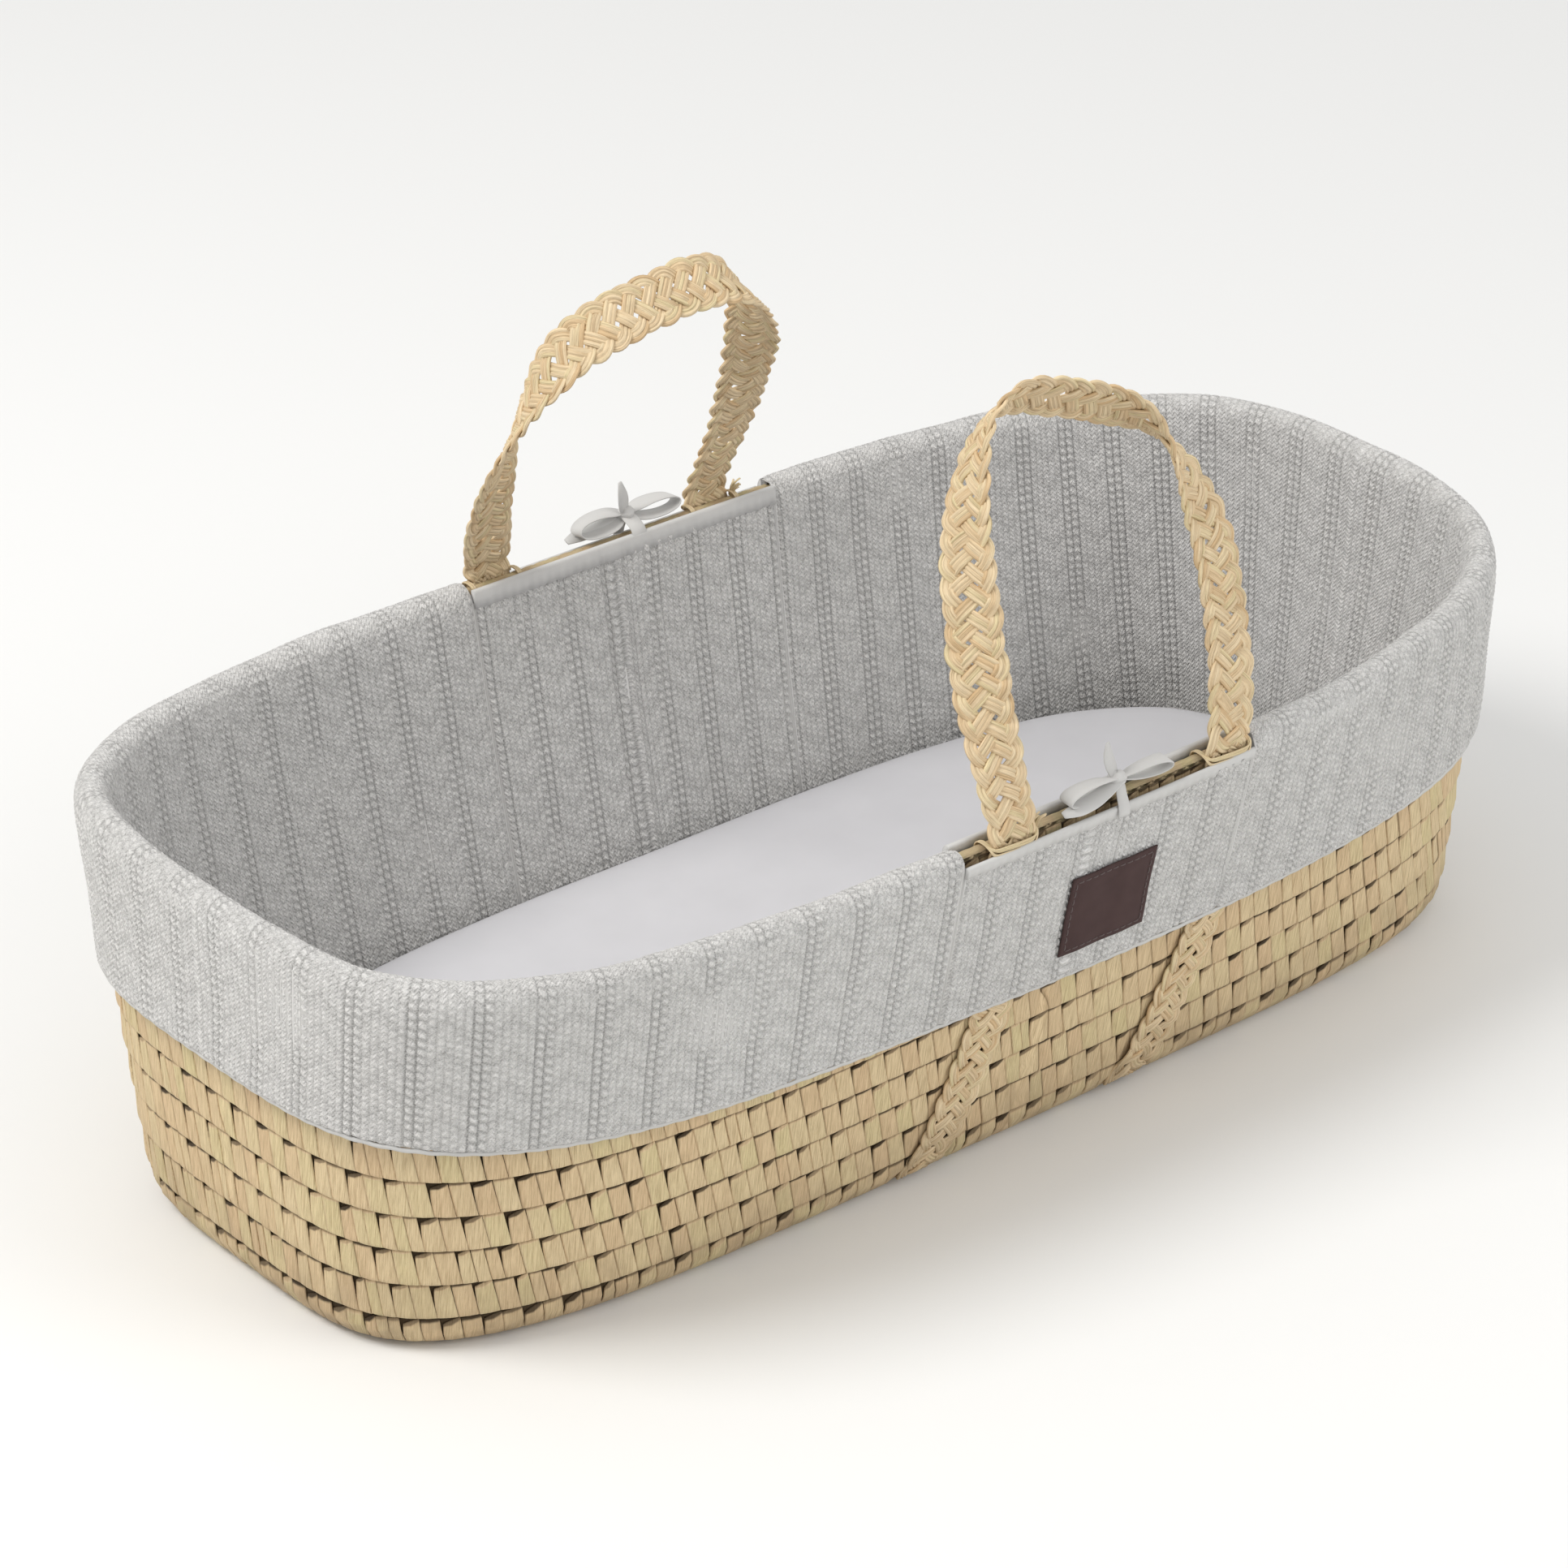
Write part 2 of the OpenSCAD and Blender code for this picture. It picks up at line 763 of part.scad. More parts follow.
module sheet_elastic() {
    width = 5;
    color(cotton)
        skin([
            for (a = full_circle)
                [
                    mattress_point(a, mattress_bottom, 5 + sheet_t + width),
                    mattress_point(a, mattress_bottom, 5 + sheet_t + gap),
                    mattress_point(a, mattress_bottom + sheet_t, 5 + sheet_t + gap),
                    mattress_point(a, mattress_bottom + sheet_t, 5 + sheet_t + width)
                ]
        ], closed = true);
}

base_panel();
edge_course();  // wall_course_01
wall_course(2);  // wall_course_02
wall_course(3);  // wall_course_03
wall_course(4);  // wall_course_04
wall_course(5);  // wall_course_05
wall_course(6);  // wall_course_06
wall_course(7);  // wall_course_07
wall_course(8);  // wall_course_08
wall_course(9);  // wall_course_09
wall_course(10);  // wall_course_10
rim_binding();
strap_foot();
strap_head();
lashing(NEAR, near_foot_strap[0]);  // lashing_near_foot
lashing(NEAR, near_head_strap[0]);  // lashing_near_head
lashing(FAR, far_foot_strap[0]);  // lashing_far_foot
lashing(FAR, far_head_strap[0]);  // lashing_far_head
handle(NEAR, near_arch, near_twist, near_lean);  // handle_near
handle(FAR, far_arch, far_twist, far_lean);  // handle_far
cover_end(foot_angles);  // cover_foot_panel
cover_end(head_angles);  // cover_head_panel
cover_skirt(near_angles);  // cover_near_skirt
cover_lining(near_angles);  // cover_near_lining
cover_skirt(far_angles);  // cover_far_skirt
cover_lining(far_angles);  // cover_far_lining
cover_floor();
skirt_binding(near_angles);  // binding_near_skirt
lining_binding(near_angles);  // binding_near_lining
skirt_binding(far_angles);  // binding_far_skirt
lining_binding(far_angles);  // binding_far_lining
hem_elastic();
padding(foot_angles);  // padding_foot
padding(head_angles);  // padding_head
padding(near_angles);  // padding_near
padding(far_angles);  // padding_far
tie_skirt(NEAR);  // tie_near_skirt
tie_lining(NEAR);  // tie_near_lining
tie_skirt(FAR);  // tie_far_skirt
tie_lining(FAR);  // tie_far_lining
label_patch();
label_stitches();
mattress_core();
mattress_ticking();
fitted_sheet();
sheet_elastic();
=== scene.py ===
"""Moses basket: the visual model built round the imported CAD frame.

Lengths are in millimetres up to make_mesh, which writes metres. Z is up, +X is the head end and -Y is the
near side. Angles round the outline are in radians, counter-clockwise from +X.
"""

import math

import bpy
import numpy as np
from mathutils import Matrix, Vector


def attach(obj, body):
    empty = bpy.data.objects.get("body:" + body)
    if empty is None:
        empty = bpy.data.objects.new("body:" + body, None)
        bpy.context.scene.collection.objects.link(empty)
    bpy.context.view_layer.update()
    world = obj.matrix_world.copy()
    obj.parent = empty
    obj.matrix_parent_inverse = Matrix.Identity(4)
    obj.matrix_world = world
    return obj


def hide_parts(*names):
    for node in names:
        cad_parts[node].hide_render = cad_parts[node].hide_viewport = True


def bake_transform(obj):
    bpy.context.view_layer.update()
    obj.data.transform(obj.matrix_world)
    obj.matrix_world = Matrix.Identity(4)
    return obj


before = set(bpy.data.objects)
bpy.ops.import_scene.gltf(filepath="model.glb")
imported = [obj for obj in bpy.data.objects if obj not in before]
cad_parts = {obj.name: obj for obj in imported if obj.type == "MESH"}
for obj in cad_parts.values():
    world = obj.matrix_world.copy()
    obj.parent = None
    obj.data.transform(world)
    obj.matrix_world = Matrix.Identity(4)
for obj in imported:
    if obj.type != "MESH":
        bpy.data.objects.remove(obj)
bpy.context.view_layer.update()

NEAR, FAR = -1, 1
SIDE_NAMES = {NEAR: "near", FAR: "far"}
SEED = 7

# ---- The basket's dimensions, as in the CAD frame ----

RIM_LENGTH, RIM_WIDTH = 836.0, 410.0
BASE_LENGTH, BASE_WIDTH = 788.0, 302.0
RIM_HEIGHT, RIM_END_RISE = 228.0, 7.0
RIM_HEAD_POWER, RIM_FOOT_POWER = 3.0, 3.9
BASE_HEAD_POWER, BASE_FOOT_POWER = 4.9, 4.4
MATTRESS_POWER = 3.4
SPREAD = 3.8
WALL_T, BASE_T, EDGE_R = 6.4, 8.0, 14.0
WALL_BOW, RIM_INSET = 2.3, 6.5
WALL_TOP_H, RIM_TOP_H = 0.96, 0.98
COURSES = 10

# Offsets d from the palm wall's outer face are in mm, and heights h are shares of the rim height
SKIRT_OUT, SKIRT_IN = 6.7, 4.7
LINING_OUT, LINING_IN = -9.6, -11.6
LINING_FOOT_Z = 10.1
HEM_HEIGHT, HEM_END_RISE, HEM_TILT = 115.0, 17.0, 8.0
SKIRT_SEAM_H, SKIRT_BINDING_H = 0.938, 0.962
LINING_EDGE_H, LINING_BINDING_H = 0.95, 0.99
SLOTS = {NEAR: (-88.0, 119.0), FAR: (-98.0, 119.0)}

STRAP_W, STRAP_T = 32.0, 4.0
HINGE_Y, HINGE_Z = 200.7, 232.0
HANDLE_HALF_W, HANDLE_RISE = 78.0, 196.0
ARCH_POWER, ARCH_BULGE = 3.6, 7.0
# Each handle's x at its feet, how far its top shifts along X and how much it tips, and its lean in degrees
ARCHES = {NEAR: ((23, 21, -30), 22.0), FAR: ((1, -32, 13), 27.0)}
# Each handle's twist at its top in degrees, and how late it sets in on the foot end's and head end's leg
TWISTS = {NEAR: (-125.0, 0.7, 4.0), FAR: (112.0, 1.2, 1.2)}
# x of each strap's centre line at the rim, at STRAP_BEND_H and at the floor
STRAP_BEND_H = 0.45
STRAPS = {
    "foot": {NEAR: (-54, -42, -64), FAR: (-77, -70, -64)},
    "head": {NEAR: (99, 114, 85), FAR: (79, 83, 85)},
}
BOW_X = 20.0
MATTRESS_LENGTH, MATTRESS_WIDTH = 740.0, 295.0
LABEL_X, LABEL_Z, LABEL_W, LABEL_H = 23.0, 157.0, 60.0, 50.0


# ---- The wall's shape ----


def signed_pow(v, e):
    return np.sign(v) * np.abs(v) ** e


def mix(a, b, s):
    return a + (b - a) * s


def smoothstep(a, b, v):
    t = np.clip((v - a) / (b - a), 0, 1)
    return t * t * (3 - 2 * t)


def power(a, head, foot):
    return np.where(np.cos(a) >= 0, head, foot)


def unit_oval(a, n):
    x, y = signed_pow(np.cos(a), 2 / SPREAD), signed_pow(np.sin(a), 2 / SPREAD)
    r = (np.abs(x) ** n + np.abs(y) ** n) ** (-1 / n)
    return x * r, y * r


def oval(a, length, width, n):
    x, y = unit_oval(a, n)
    return x * length / 2, y * width / 2


def rim_normal(a):
    n = power(a, RIM_HEAD_POWER, RIM_FOOT_POWER)
    x, y = unit_oval(a, n)
    nx, ny = signed_pow(x, n - 1) / RIM_LENGTH, signed_pow(y, n - 1) / RIM_WIDTH
    size = np.hypot(nx, ny)
    return nx / size, ny / size


def wall_xy(a, h, d):
    bx, by = oval(a, BASE_LENGTH, BASE_WIDTH, power(a, BASE_HEAD_POWER, BASE_FOOT_POWER))
    rx, ry = oval(a, RIM_LENGTH, RIM_WIDTH, power(a, RIM_HEAD_POWER, RIM_FOOT_POWER))
    nx, ny = rim_normal(a)
    return mix(bx, rx, h) + d * nx, mix(by, ry, h) + d * ny


def rim_z(x):
    return RIM_HEIGHT + RIM_END_RISE * np.abs(2 * x / RIM_LENGTH) ** 3


def hem_z(x):
    u = 2 * x / RIM_LENGTH
    return HEM_HEIGHT - HEM_TILT * u + HEM_END_RISE * u * u


def palm_d(h):
    return 4 * WALL_BOW * h * (1 - h) - RIM_INSET * h


def wall_point(a, h, d, lift=0.0):
    """The point at share h of the rim height, d outside the palm wall's outer face, and lift above that."""
    x, y = wall_xy(a, h, palm_d(h) + d)
    return np.stack([x, y, h * rim_z(x) + lift], axis=-1)


def rim_height(a):
    """The rim's height over the wall at angle a."""
    return rim_z(wall_xy(a, 0.5, 0)[0])


def share_at(a, z):
    """The share of the rim height at which the wall at angle a is z high."""
    return z / rim_height(a)


def hem_share(a):
    return share_at(a, hem_z(wall_xy(a, 0.5, 0)[0]))


def angle_at(x, side, h=1.0):
    """The outline's angle at x on the near or far side, at share h of the height."""
    n = np.where(x >= 0, RIM_HEAD_POWER, RIM_FOOT_POWER)
    u = 2 * x / mix(BASE_LENGTH, RIM_LENGTH, h)
    v = (1 - np.abs(u) ** n) ** (1 / n)
    a = np.arctan2(1, signed_pow(u / v, SPREAD / 2))
    return a if side > 0 else 2 * math.pi - a


def outline_table():
    """Angles all round, from -Y, and the outline's length up to each at 0.6 of the rim height."""
    angles = np.linspace(-math.pi / 2, 3.5 * math.pi, 16001)
    outline = np.stack(wall_xy(angles, 0.6, 0), axis=-1)
    steps = np.linalg.norm(np.diff(outline, axis=0), axis=1)
    return angles, np.concatenate([[0], np.cumsum(steps)])


# Columns of knit and strips of palm are counted along these lengths
ANGLES, LENGTHS = outline_table()
OUTLINE = float(np.interp(1.5 * math.pi, ANGLES, LENGTHS))


def length_to_angle(s):
    return np.interp(s, LENGTHS, ANGLES)


def angle_to_length(a):
    return np.interp(a, ANGLES, LENGTHS)


def slot_spans():
    """Start and end of each cover panel, as lengths round the outline."""
    near = [float(angle_to_length(angle_at(x, NEAR))) for x in SLOTS[NEAR]]
    far = [float(angle_to_length(angle_at(x, FAR))) for x in reversed(SLOTS[FAR])]
    return {
        "near": (near[0], near[1]),
        "head": (near[1] - OUTLINE, far[0]),
        "far": (far[0], far[1]),
        "foot": (far[1], near[0]),
    }


SPANS = slot_spans()


# ---- Meshes ----


def make_mesh(name, points, faces, uv=None, values=None):
    """An object from points in mm, with a UV map in mm and float attributes, one value to a point each."""
    mesh = bpy.data.meshes.new(name)
    mesh.from_pydata((np.asarray(points, float).reshape(-1, 3) / 1000).tolist(), [], [list(f) for f in faces])
    corners = np.empty(len(mesh.loops), int)
    mesh.loops.foreach_get("vertex_index", corners)
    if uv is not None:
        layer = mesh.uv_layers.new(name="mm")
        layer.data.foreach_set("uv", np.asarray(uv, np.float32).reshape(-1, 2)[corners].ravel())
    for key, value in (values or {}).items():
        attribute = mesh.attributes.new(key, "FLOAT", "POINT")
        attribute.data.foreach_set("value", np.asarray(value, np.float32).ravel())
    mesh.polygons.foreach_set("use_smooth", np.ones(len(mesh.polygons), bool))
    mesh.update()
    obj = bpy.data.objects.new(name, mesh)
    bpy.context.scene.collection.objects.link(obj)
    return obj


def grid_faces(rows, cols, wrap_rows=False, wrap_cols=False, start=0):
    """Quads over a grid of points stored row by row."""
    i = np.arange(rows if wrap_rows else rows - 1)[:, None]
    j = np.arange(cols if wrap_cols else cols - 1)[None, :]
    i2, j2 = (i + 1) % rows, (j + 1) % cols
    quads = np.stack([i * cols + j, i * cols + j2, i2 * cols + j2, i2 * cols + j], axis=-1)
    return (quads.reshape(-1, 4) + start).tolist()


class Parts:
    """Points, faces, UVs and tones of many small shells gathered into one mesh."""

    def __init__(self):
        self.points, self.uv, self.tone, self.faces, self.count = [], [], [], [], 0

    def add(self, points, faces, uv, tone):
        points = np.asarray(points, float).reshape(-1, 3)
        self.points.append(points)
        self.uv.append(np.asarray(uv, float).reshape(-1, 2))
        self.tone.append(np.broadcast_to(np.asarray(tone, float), len(points)))
        self.faces += [[k + self.count for k in f] for f in faces]
        self.count += len(points)

    def build(self, name):
        points, uv, tone = (np.concatenate(rows) for rows in (self.points, self.uv, self.tone))
        return make_mesh(name, points, self.faces, uv, {"tone": tone})


def full_turn(count):
    return np.linspace(0, 2 * math.pi, count, endpoint=False)


def grid_uv(across, along):
    """UVs in mm over a grid of points, from two coordinates broadcast to each other."""
    return np.stack(np.broadcast_arrays(across, along), axis=-1)


def swept(sections, uv, tone, parts):
    """Adds a closed tube through sections (steps, points, 3), with flat ends."""
    steps, around = sections.shape[:2]
    faces = grid_faces(steps, around, wrap_cols=True)
    faces += [list(range(around))[::-1], [(steps - 1) * around + k for k in range(around)]]
    parts.add(sections, faces, uv, tone)


def looped(sections, uv, tone, parts):
    """Adds a tube closed on itself through sections (steps, points, 3)."""
    parts.add(sections, grid_faces(*sections.shape[:2], wrap_rows=True, wrap_cols=True), uv, tone)


# ---- Materials ----

# Width and height of one small V of yarn on the knit
V_WIDTH, V_HEIGHT = 3.4, 2.65


def new_material(name, roughness=0.9, sheen=0.0):
    material = bpy.data.materials.new(name)
    material.use_nodes = True
    shader = material.node_tree.nodes["Principled BSDF"]
    shader.inputs["Roughness"].default_value = roughness
    shader.inputs["Sheen Weight"].default_value = sheen
    shader.inputs["Specular IOR Level"].default_value = 0.3
    return material, material.node_tree, shader


def node(tree, kind, inputs=None, **settings):
    made = tree.nodes.new(kind)
    for key, value in settings.items():
        setattr(made, key, value)
    for key, value in (inputs or {}).items():
        if isinstance(value, bpy.types.NodeSocket):
            tree.links.new(value, made.inputs[key])
        else:
            made.inputs[key].default_value = value
    return made


def maths(tree, operation, a, b=0.0):
    return node(tree, "ShaderNodeMath", {0: a, 1: b}, operation=operation).outputs[0]


def uv_axes(tree):
    """The UV map's two coordinates, in mm across and along."""
    uv = node(tree, "ShaderNodeUVMap", uv_map="mm").outputs[0]
    return node(tree, "ShaderNodeSeparateXYZ", {0: uv}).outputs[:2]


def sine(tree, value, period):
    return maths(tree, "SINE", maths(tree, "MULTIPLY", value, 2 * math.pi / period))


def above_zero(tree, value):
    """Brings a value from the range -1 to 1 to the range 0 to 1."""
    return maths(tree, "ADD", maths(tree, "MULTIPLY", value, 0.5), 0.5)


def blend_colour(tree, factor, a, b):
    made = node(tree, "ShaderNodeMix", data_type="RGBA", blend_type="MIX", clamp_factor=True)
    for key, value in ((0, factor), (6, a), (7, b)):
        if isinstance(value, bpy.types.NodeSocket):
            tree.links.new(value, made.inputs[key])
        else:
            made.inputs[key].default_value = value if key == 0 else (*value, 1)
    return made.outputs[2]


def noise(tree, place, scale, detail, roughness=0.5):
    inputs = {"Vector": place, "Scale": scale, "Detail": detail, "Roughness": roughness}
    return node(tree, "ShaderNodeTexNoise", inputs).outputs[0]


def stretched_noise(tree, scale, detail=3.0, roughness=0.6):
    """Noise over the UV map in mm, with scale = (cells per mm across, cells per mm along)."""
    uv = node(tree, "ShaderNodeUVMap", uv_map="mm").outputs[0]
    sized = node(tree, "ShaderNodeMapping", {0: uv, 3: (scale[0], scale[1], 1)}).outputs[0]
    return noise(tree, sized, 1.0, detail, roughness)


def spatial_noise(tree, per_metre, detail=3.0):
    return noise(tree, node(tree, "ShaderNodeTexCoord").outputs["Object"], per_metre, detail)


def spread(tree, value, low, high, from_low=0.3, from_high=0.7):
    """Maps from_low to from_high onto low to high, held at the ends."""
    inputs = {0: value, 1: from_low, 2: from_high, 3: low, 4: high}
    return node(tree, "ShaderNodeMapRange", inputs).outputs[0]


def bump(tree, shader, height, distance, strength):
    inputs = {"Height": height, "Distance": distance, "Strength": strength}
    tree.links.new(node(tree, "ShaderNodeBump", inputs).outputs[0], shader.inputs["Normal"])


def knit_material():
    """Cable knit in fine yarn. Its small stitches are rows of V shapes on the UV map in mm. Its colour
    carries painted shade: darker in the pattern's grooves, where the relief attribute is low, and between the
    rows of small stitches.
    """
    material, tree, shader = new_material("cable_knit", 0.95, 0.25)
    across, along = uv_axes(tree)
    stitch = maths(tree, "FRACT", maths(tree, "DIVIDE", across, V_WIDTH))
    leg = maths(tree, "ABSOLUTE", maths(tree, "SUBTRACT", stitch, 0.5))
    row = maths(tree, "ADD", maths(tree, "DIVIDE", along, V_HEIGHT), maths(tree, "MULTIPLY", leg, 1.5))
    wave = above_zero(tree, sine(tree, row, 1.0))
    fibre = stretched_noise(tree, (1.1, 1.1), 5, 0.7)
    mottle = stretched_noise(tree, (0.32, 0.4), 3, 0.6)
    relief = node(tree, "ShaderNodeAttribute", attribute_name="relief").outputs["Fac"]
    broad = spread(tree, spatial_noise(tree, 9), 0, 1)
    # Painted shade: low darkens the grooves, where the knit's relief is low, and between darkens the gaps
    # between the rows of small V stitches
    low = maths(tree, "MULTIPLY", maths(tree, "SUBTRACT", 1.0, relief), 0.95)
    between = maths(tree, "MULTIPLY", maths(tree, "SUBTRACT", 1.0, wave), 0.3)
    tint = blend_colour(tree, broad, (0.88, 0.86, 0.83), (0.95, 0.935, 0.91))
    tint = blend_colour(tree, low, tint, (0.17, 0.164, 0.155))
    tint = blend_colour(tree, between, tint, (0.42, 0.41, 0.395))
    tint = blend_colour(tree, spread(tree, mottle, 0.0, 0.6, 0.44, 0.62), tint, (0.44, 0.43, 0.415))
    tint = blend_colour(tree, spread(tree, fibre, 0.0, 0.6, 0.42, 0.62), tint, (0.95, 0.94, 0.92))
    tree.links.new(tint, shader.inputs["Base Color"])
    height = maths(tree, "ADD", maths(tree, "MULTIPLY", wave, 0.6), maths(tree, "MULTIPLY", fibre, 0.9))
    bump(tree, shader, height, 0.0014, 0.9)
    return material


def palm_material(name, pale, warm, green, dark):
    """Dried palm leaf: a tint to each strip, fine fibres along it, and grime near the ground; tones below
    zero give painted shade, near black.
    """
    material, tree, shader = new_material(name, 0.62)
    tone = node(tree, "ShaderNodeAttribute", attribute_name="tone").outputs["Fac"]
    tint = blend_colour(tree, spread(tree, tone, 0, 1, 0.0, 0.55), warm, pale)
    tint = blend_colour(tree, spread(tree, tone, 0, 1, 0.6, 1.0), tint, green)
    fibre = stretched_noise(tree, (1.5, 0.06), 4, 0.7)
    tint = blend_colour(tree, spread(tree, fibre, 0.0, 0.75, 0.42, 0.72), tint, dark)
    streak = stretched_noise(tree, (0.5, 0.02), 2)
    tint = blend_colour(tree, spread(tree, streak, 0.0, 0.35, 0.5, 0.7), tint, tuple(1.15 * c for c in pale))
    blotch = spatial_noise(tree, 60, 4)
    place = node(tree, "ShaderNodeTexCoord").outputs["Object"]
    z = node(tree, "ShaderNodeSeparateXYZ", {0: place}).outputs[2]
    low = spread(tree, z, 0.85, 0.0, 0.0, 0.055)
    grime = maths(tree, "MULTIPLY", low, spread(tree, blotch, 0.2, 1.0, 0.35, 0.65))
    tint = blend_colour(tree, grime, tint, tuple(c * 0.5 for c in warm))
    # Painted shade: tones below zero go near black. They cover the dark cores seen through the slots, the
    # lines along the strips' top and left edges, and the wall under the straps.
    painted_shade = spread(tree, tone, 0.0, 1.0, -0.05, -1.0)
    tint = blend_colour(tree, painted_shade, tint, (0.055, 0.034, 0.014))
    tree.links.new(tint, shader.inputs["Base Color"])
    tree.links.new(spread(tree, fibre, 0.5, 0.8), shader.inputs["Roughness"])
    bump(tree, shader, fibre, 0.0009, 0.9)
    return material


def cloth_material(name, colour, thread=0.5, sheen=0.15, contrast=0.12, depth=0.0001):
    """Plain woven or jersey cloth with threads that far apart in mm, over the UV map."""
    material, tree, shader = new_material(name, 0.9, sheen)
    across, along = uv_axes(tree)
    crossing = maths(tree, "MULTIPLY", sine(tree, across, thread), sine(tree, along, thread))
    weave = above_zero(tree, crossing)
    soft = spatial_noise(tree, 25, 4)
    dark = tuple(c * 0.8 for c in colour)
    tint = blend_colour(tree, maths(tree, "MULTIPLY", weave, contrast), colour, dark)
    tint = blend_colour(tree, spread(tree, soft, 0.0, 0.25), tint, dark)
    tree.links.new(tint, shader.inputs["Base Color"])
    bump(tree, shader, weave, depth, 0.5)
    return material


def label_material():
    material, tree, shader = new_material("label", 0.8)
    grain = stretched_noise(tree, (1.6, 1.6), 5, 0.65)
    worn = spatial_noise(tree, 90, 3)
    tint = blend_colour(tree, spread(tree, grain, 0, 1), (0.040, 0.021, 0.020), (0.068, 0.037, 0.035))
    tint = blend_colour(tree, spread(tree, worn, 0.0, 0.35), tint, (0.085, 0.049, 0.047))
    tree.links.new(tint, shader.inputs["Base Color"])
    tree.links.new(spread(tree, grain, 0.7, 0.9), shader.inputs["Roughness"])
    bump(tree, shader, grain, 0.0004, 0.6)
    return material


MATERIALS = {
    "cable_knit": knit_material(),
    "palm_weave": palm_material(
        "palm_weave", (0.77, 0.62, 0.38), (0.72, 0.53, 0.32), (0.72, 0.61, 0.34), (0.33, 0.22, 0.105)
    ),
    "palm_plait": palm_material(
        "palm_plait", (0.84, 0.68, 0.45), (0.72, 0.52, 0.30), (0.76, 0.64, 0.38), (0.30, 0.19, 0.085)
    ),
    "cotton_trim": cloth_material("cotton_trim", (0.60, 0.592, 0.575)),
    "wadding": cloth_material("wadding", (0.86, 0.86, 0.84), 1.6, 0.3, 0.3, 0.0006),
    "foam": cloth_material("foam", (0.85, 0.80, 0.62), 1.1, 0.0, 0.3, 0.0005),
    "ticking": cloth_material("ticking", (0.80, 0.80, 0.82)),
    "sheet": cloth_material("sheet", (0.66, 0.655, 0.68), 0.6, 0.1, 0.05, 0.00008),
    "label": label_material(),
    "label_thread": cloth_material("label_thread", (0.10, 0.072, 0.069), 0.4),
}


def finish_piece(obj, slot, replaces, body="basket"):
    """Gives a piece its material and body, and hides the CAD node it stands for. A piece given body None gets
    no body here.
    """
    obj.data.materials.append(MATERIALS[slot])
    if body is not None:
        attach(obj, body)
    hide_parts(replaces)
    return obj


# ---- Knit cover ----

# The knit repeats one rope and one cable round the basket, from PATTERN_START on; all in mm
REPEAT, ROPE_W, ROPE_PITCH, CABLE_PITCH = 30.0, 9.4, 5.3, 19.4
PATTERN_START, STITCH_PITCH = -12.0, 4.6
KNIT_BACK = 1.2
ROWS_PER_MM = 1.05
# The share of the height over which the cloth folds over the rim
FOLD_H = 0.955
FOLD, FOLD_MIDDLE = (SKIRT_OUT - LINING_IN) / 2, (SKIRT_OUT + LINING_IN) / 2
FOLD_LENGTH = math.pi * math.sqrt((FOLD**2 + ((1 - FOLD_H) * RIM_HEIGHT) ** 2) / 2)
# Columns of points across one repeat, closer together on the rope
REPEAT_STOPS = np.concatenate([np.linspace(0, ROPE_W, 11)[:-1], np.linspace(ROPE_W, REPEAT, 21)[:-1]])


def knit_relief(u, v):
    """Height of the knit, 0 to about 1.5 mm, at u mm round the outline and v mm from the fold inwards."""
    c = np.mod(u - PATTERN_START, REPEAT)
    v = v + 0.7 * np.sin(u / 5.7 + v / 17) + 0.5 * np.sin(v / 6.1 - u / 23)
    x = (c - ROPE_W / 2) / (ROPE_W / 2)
    stagger = np.where(x > 0, 0.5, 0.0)
    bead = np.abs(np.cos(math.pi * ((v + 0.5 * (c - ROPE_W / 2)) / ROPE_PITCH + stagger)))
    ridge = np.clip(1 - (2 * np.abs(x) - 1) ** 2, 0, 1) ** 0.3
    rope = 0.1 + (0.2 + 1.15 * bead**1.6) * ridge
    x = (c - (ROPE_W + REPEAT) / 2) / ((REPEAT - ROPE_W) / 2)
    stroke = np.mod(v / CABLE_PITCH + 0.52 * np.abs(x) + np.where(x > 0, 0.22, 0.0), 1.0)
    bar = np.sin(math.pi * stroke**0.8) ** 0.75
    column = 2.5 * (x + 1)
    within = 2 * np.mod(column, 1.0) - 1
    stitch = np.abs(np.cos(math.pi * (v / STITCH_PITCH + 0.3 * np.abs(within) + 0.37 * np.floor(column))))
    grain = stitch**0.8 * np.clip(1 - within**2, 0, 1) ** 0.4
    cable = 0.3 + 0.42 * bar + 0.58 * grain
    return np.where(c < ROPE_W, rope, cable)


def soft_wave(u, v):
    """Gentle unevenness of the padded cloth, in mm, the same after one turn round the basket."""
    w = 2 * math.pi / OUTLINE
    return (
        0.45 * np.sin(9 * w * u + 0.031 * v)
        + 0.35 * np.sin(17 * w * u - 0.05 * v + 1.3)
        + 0.2 * np.sin(31 * w * u + 0.09 * v + 0.4)
    )


def skirt_flare(a, s, h, hem_h):
    """How far the skirt stands off, in mm: most at its hem and the foot end, nothing from 0.75 up."""
    loose = 1.2 - 1.2 * np.cos(a)
    return loose * (1 - smoothstep(0, 1, (h - hem_h) / (0.75 - hem_h))) * (0.65 + 0.35 * np.sin(s / 47))


def panel_columns(start, end):
    """Lengths round the outline of a panel's columns of points."""
    first, last = int(start // REPEAT), int(end // REPEAT) + 2
    stops = (np.arange(first, last)[:, None] * REPEAT + REPEAT_STOPS).ravel() + PATTERN_START
    inner = stops[(stops > start + 0.5) & (stops < end - 0.5)]
    return np.concatenate([[start, start + 0.25], inner, [end - 0.25, end]])


def below_fold(h):
    """Length of cloth from the middle of the fold down to share h of the rim height."""
    return FOLD_LENGTH / 2 + (FOLD_H - h) * RIM_HEIGHT * 1.03


# The next three give a panel's rows of points: height, offset, length over the rim to the inside, and how
# much of the knit's relief points out of the wall and up.


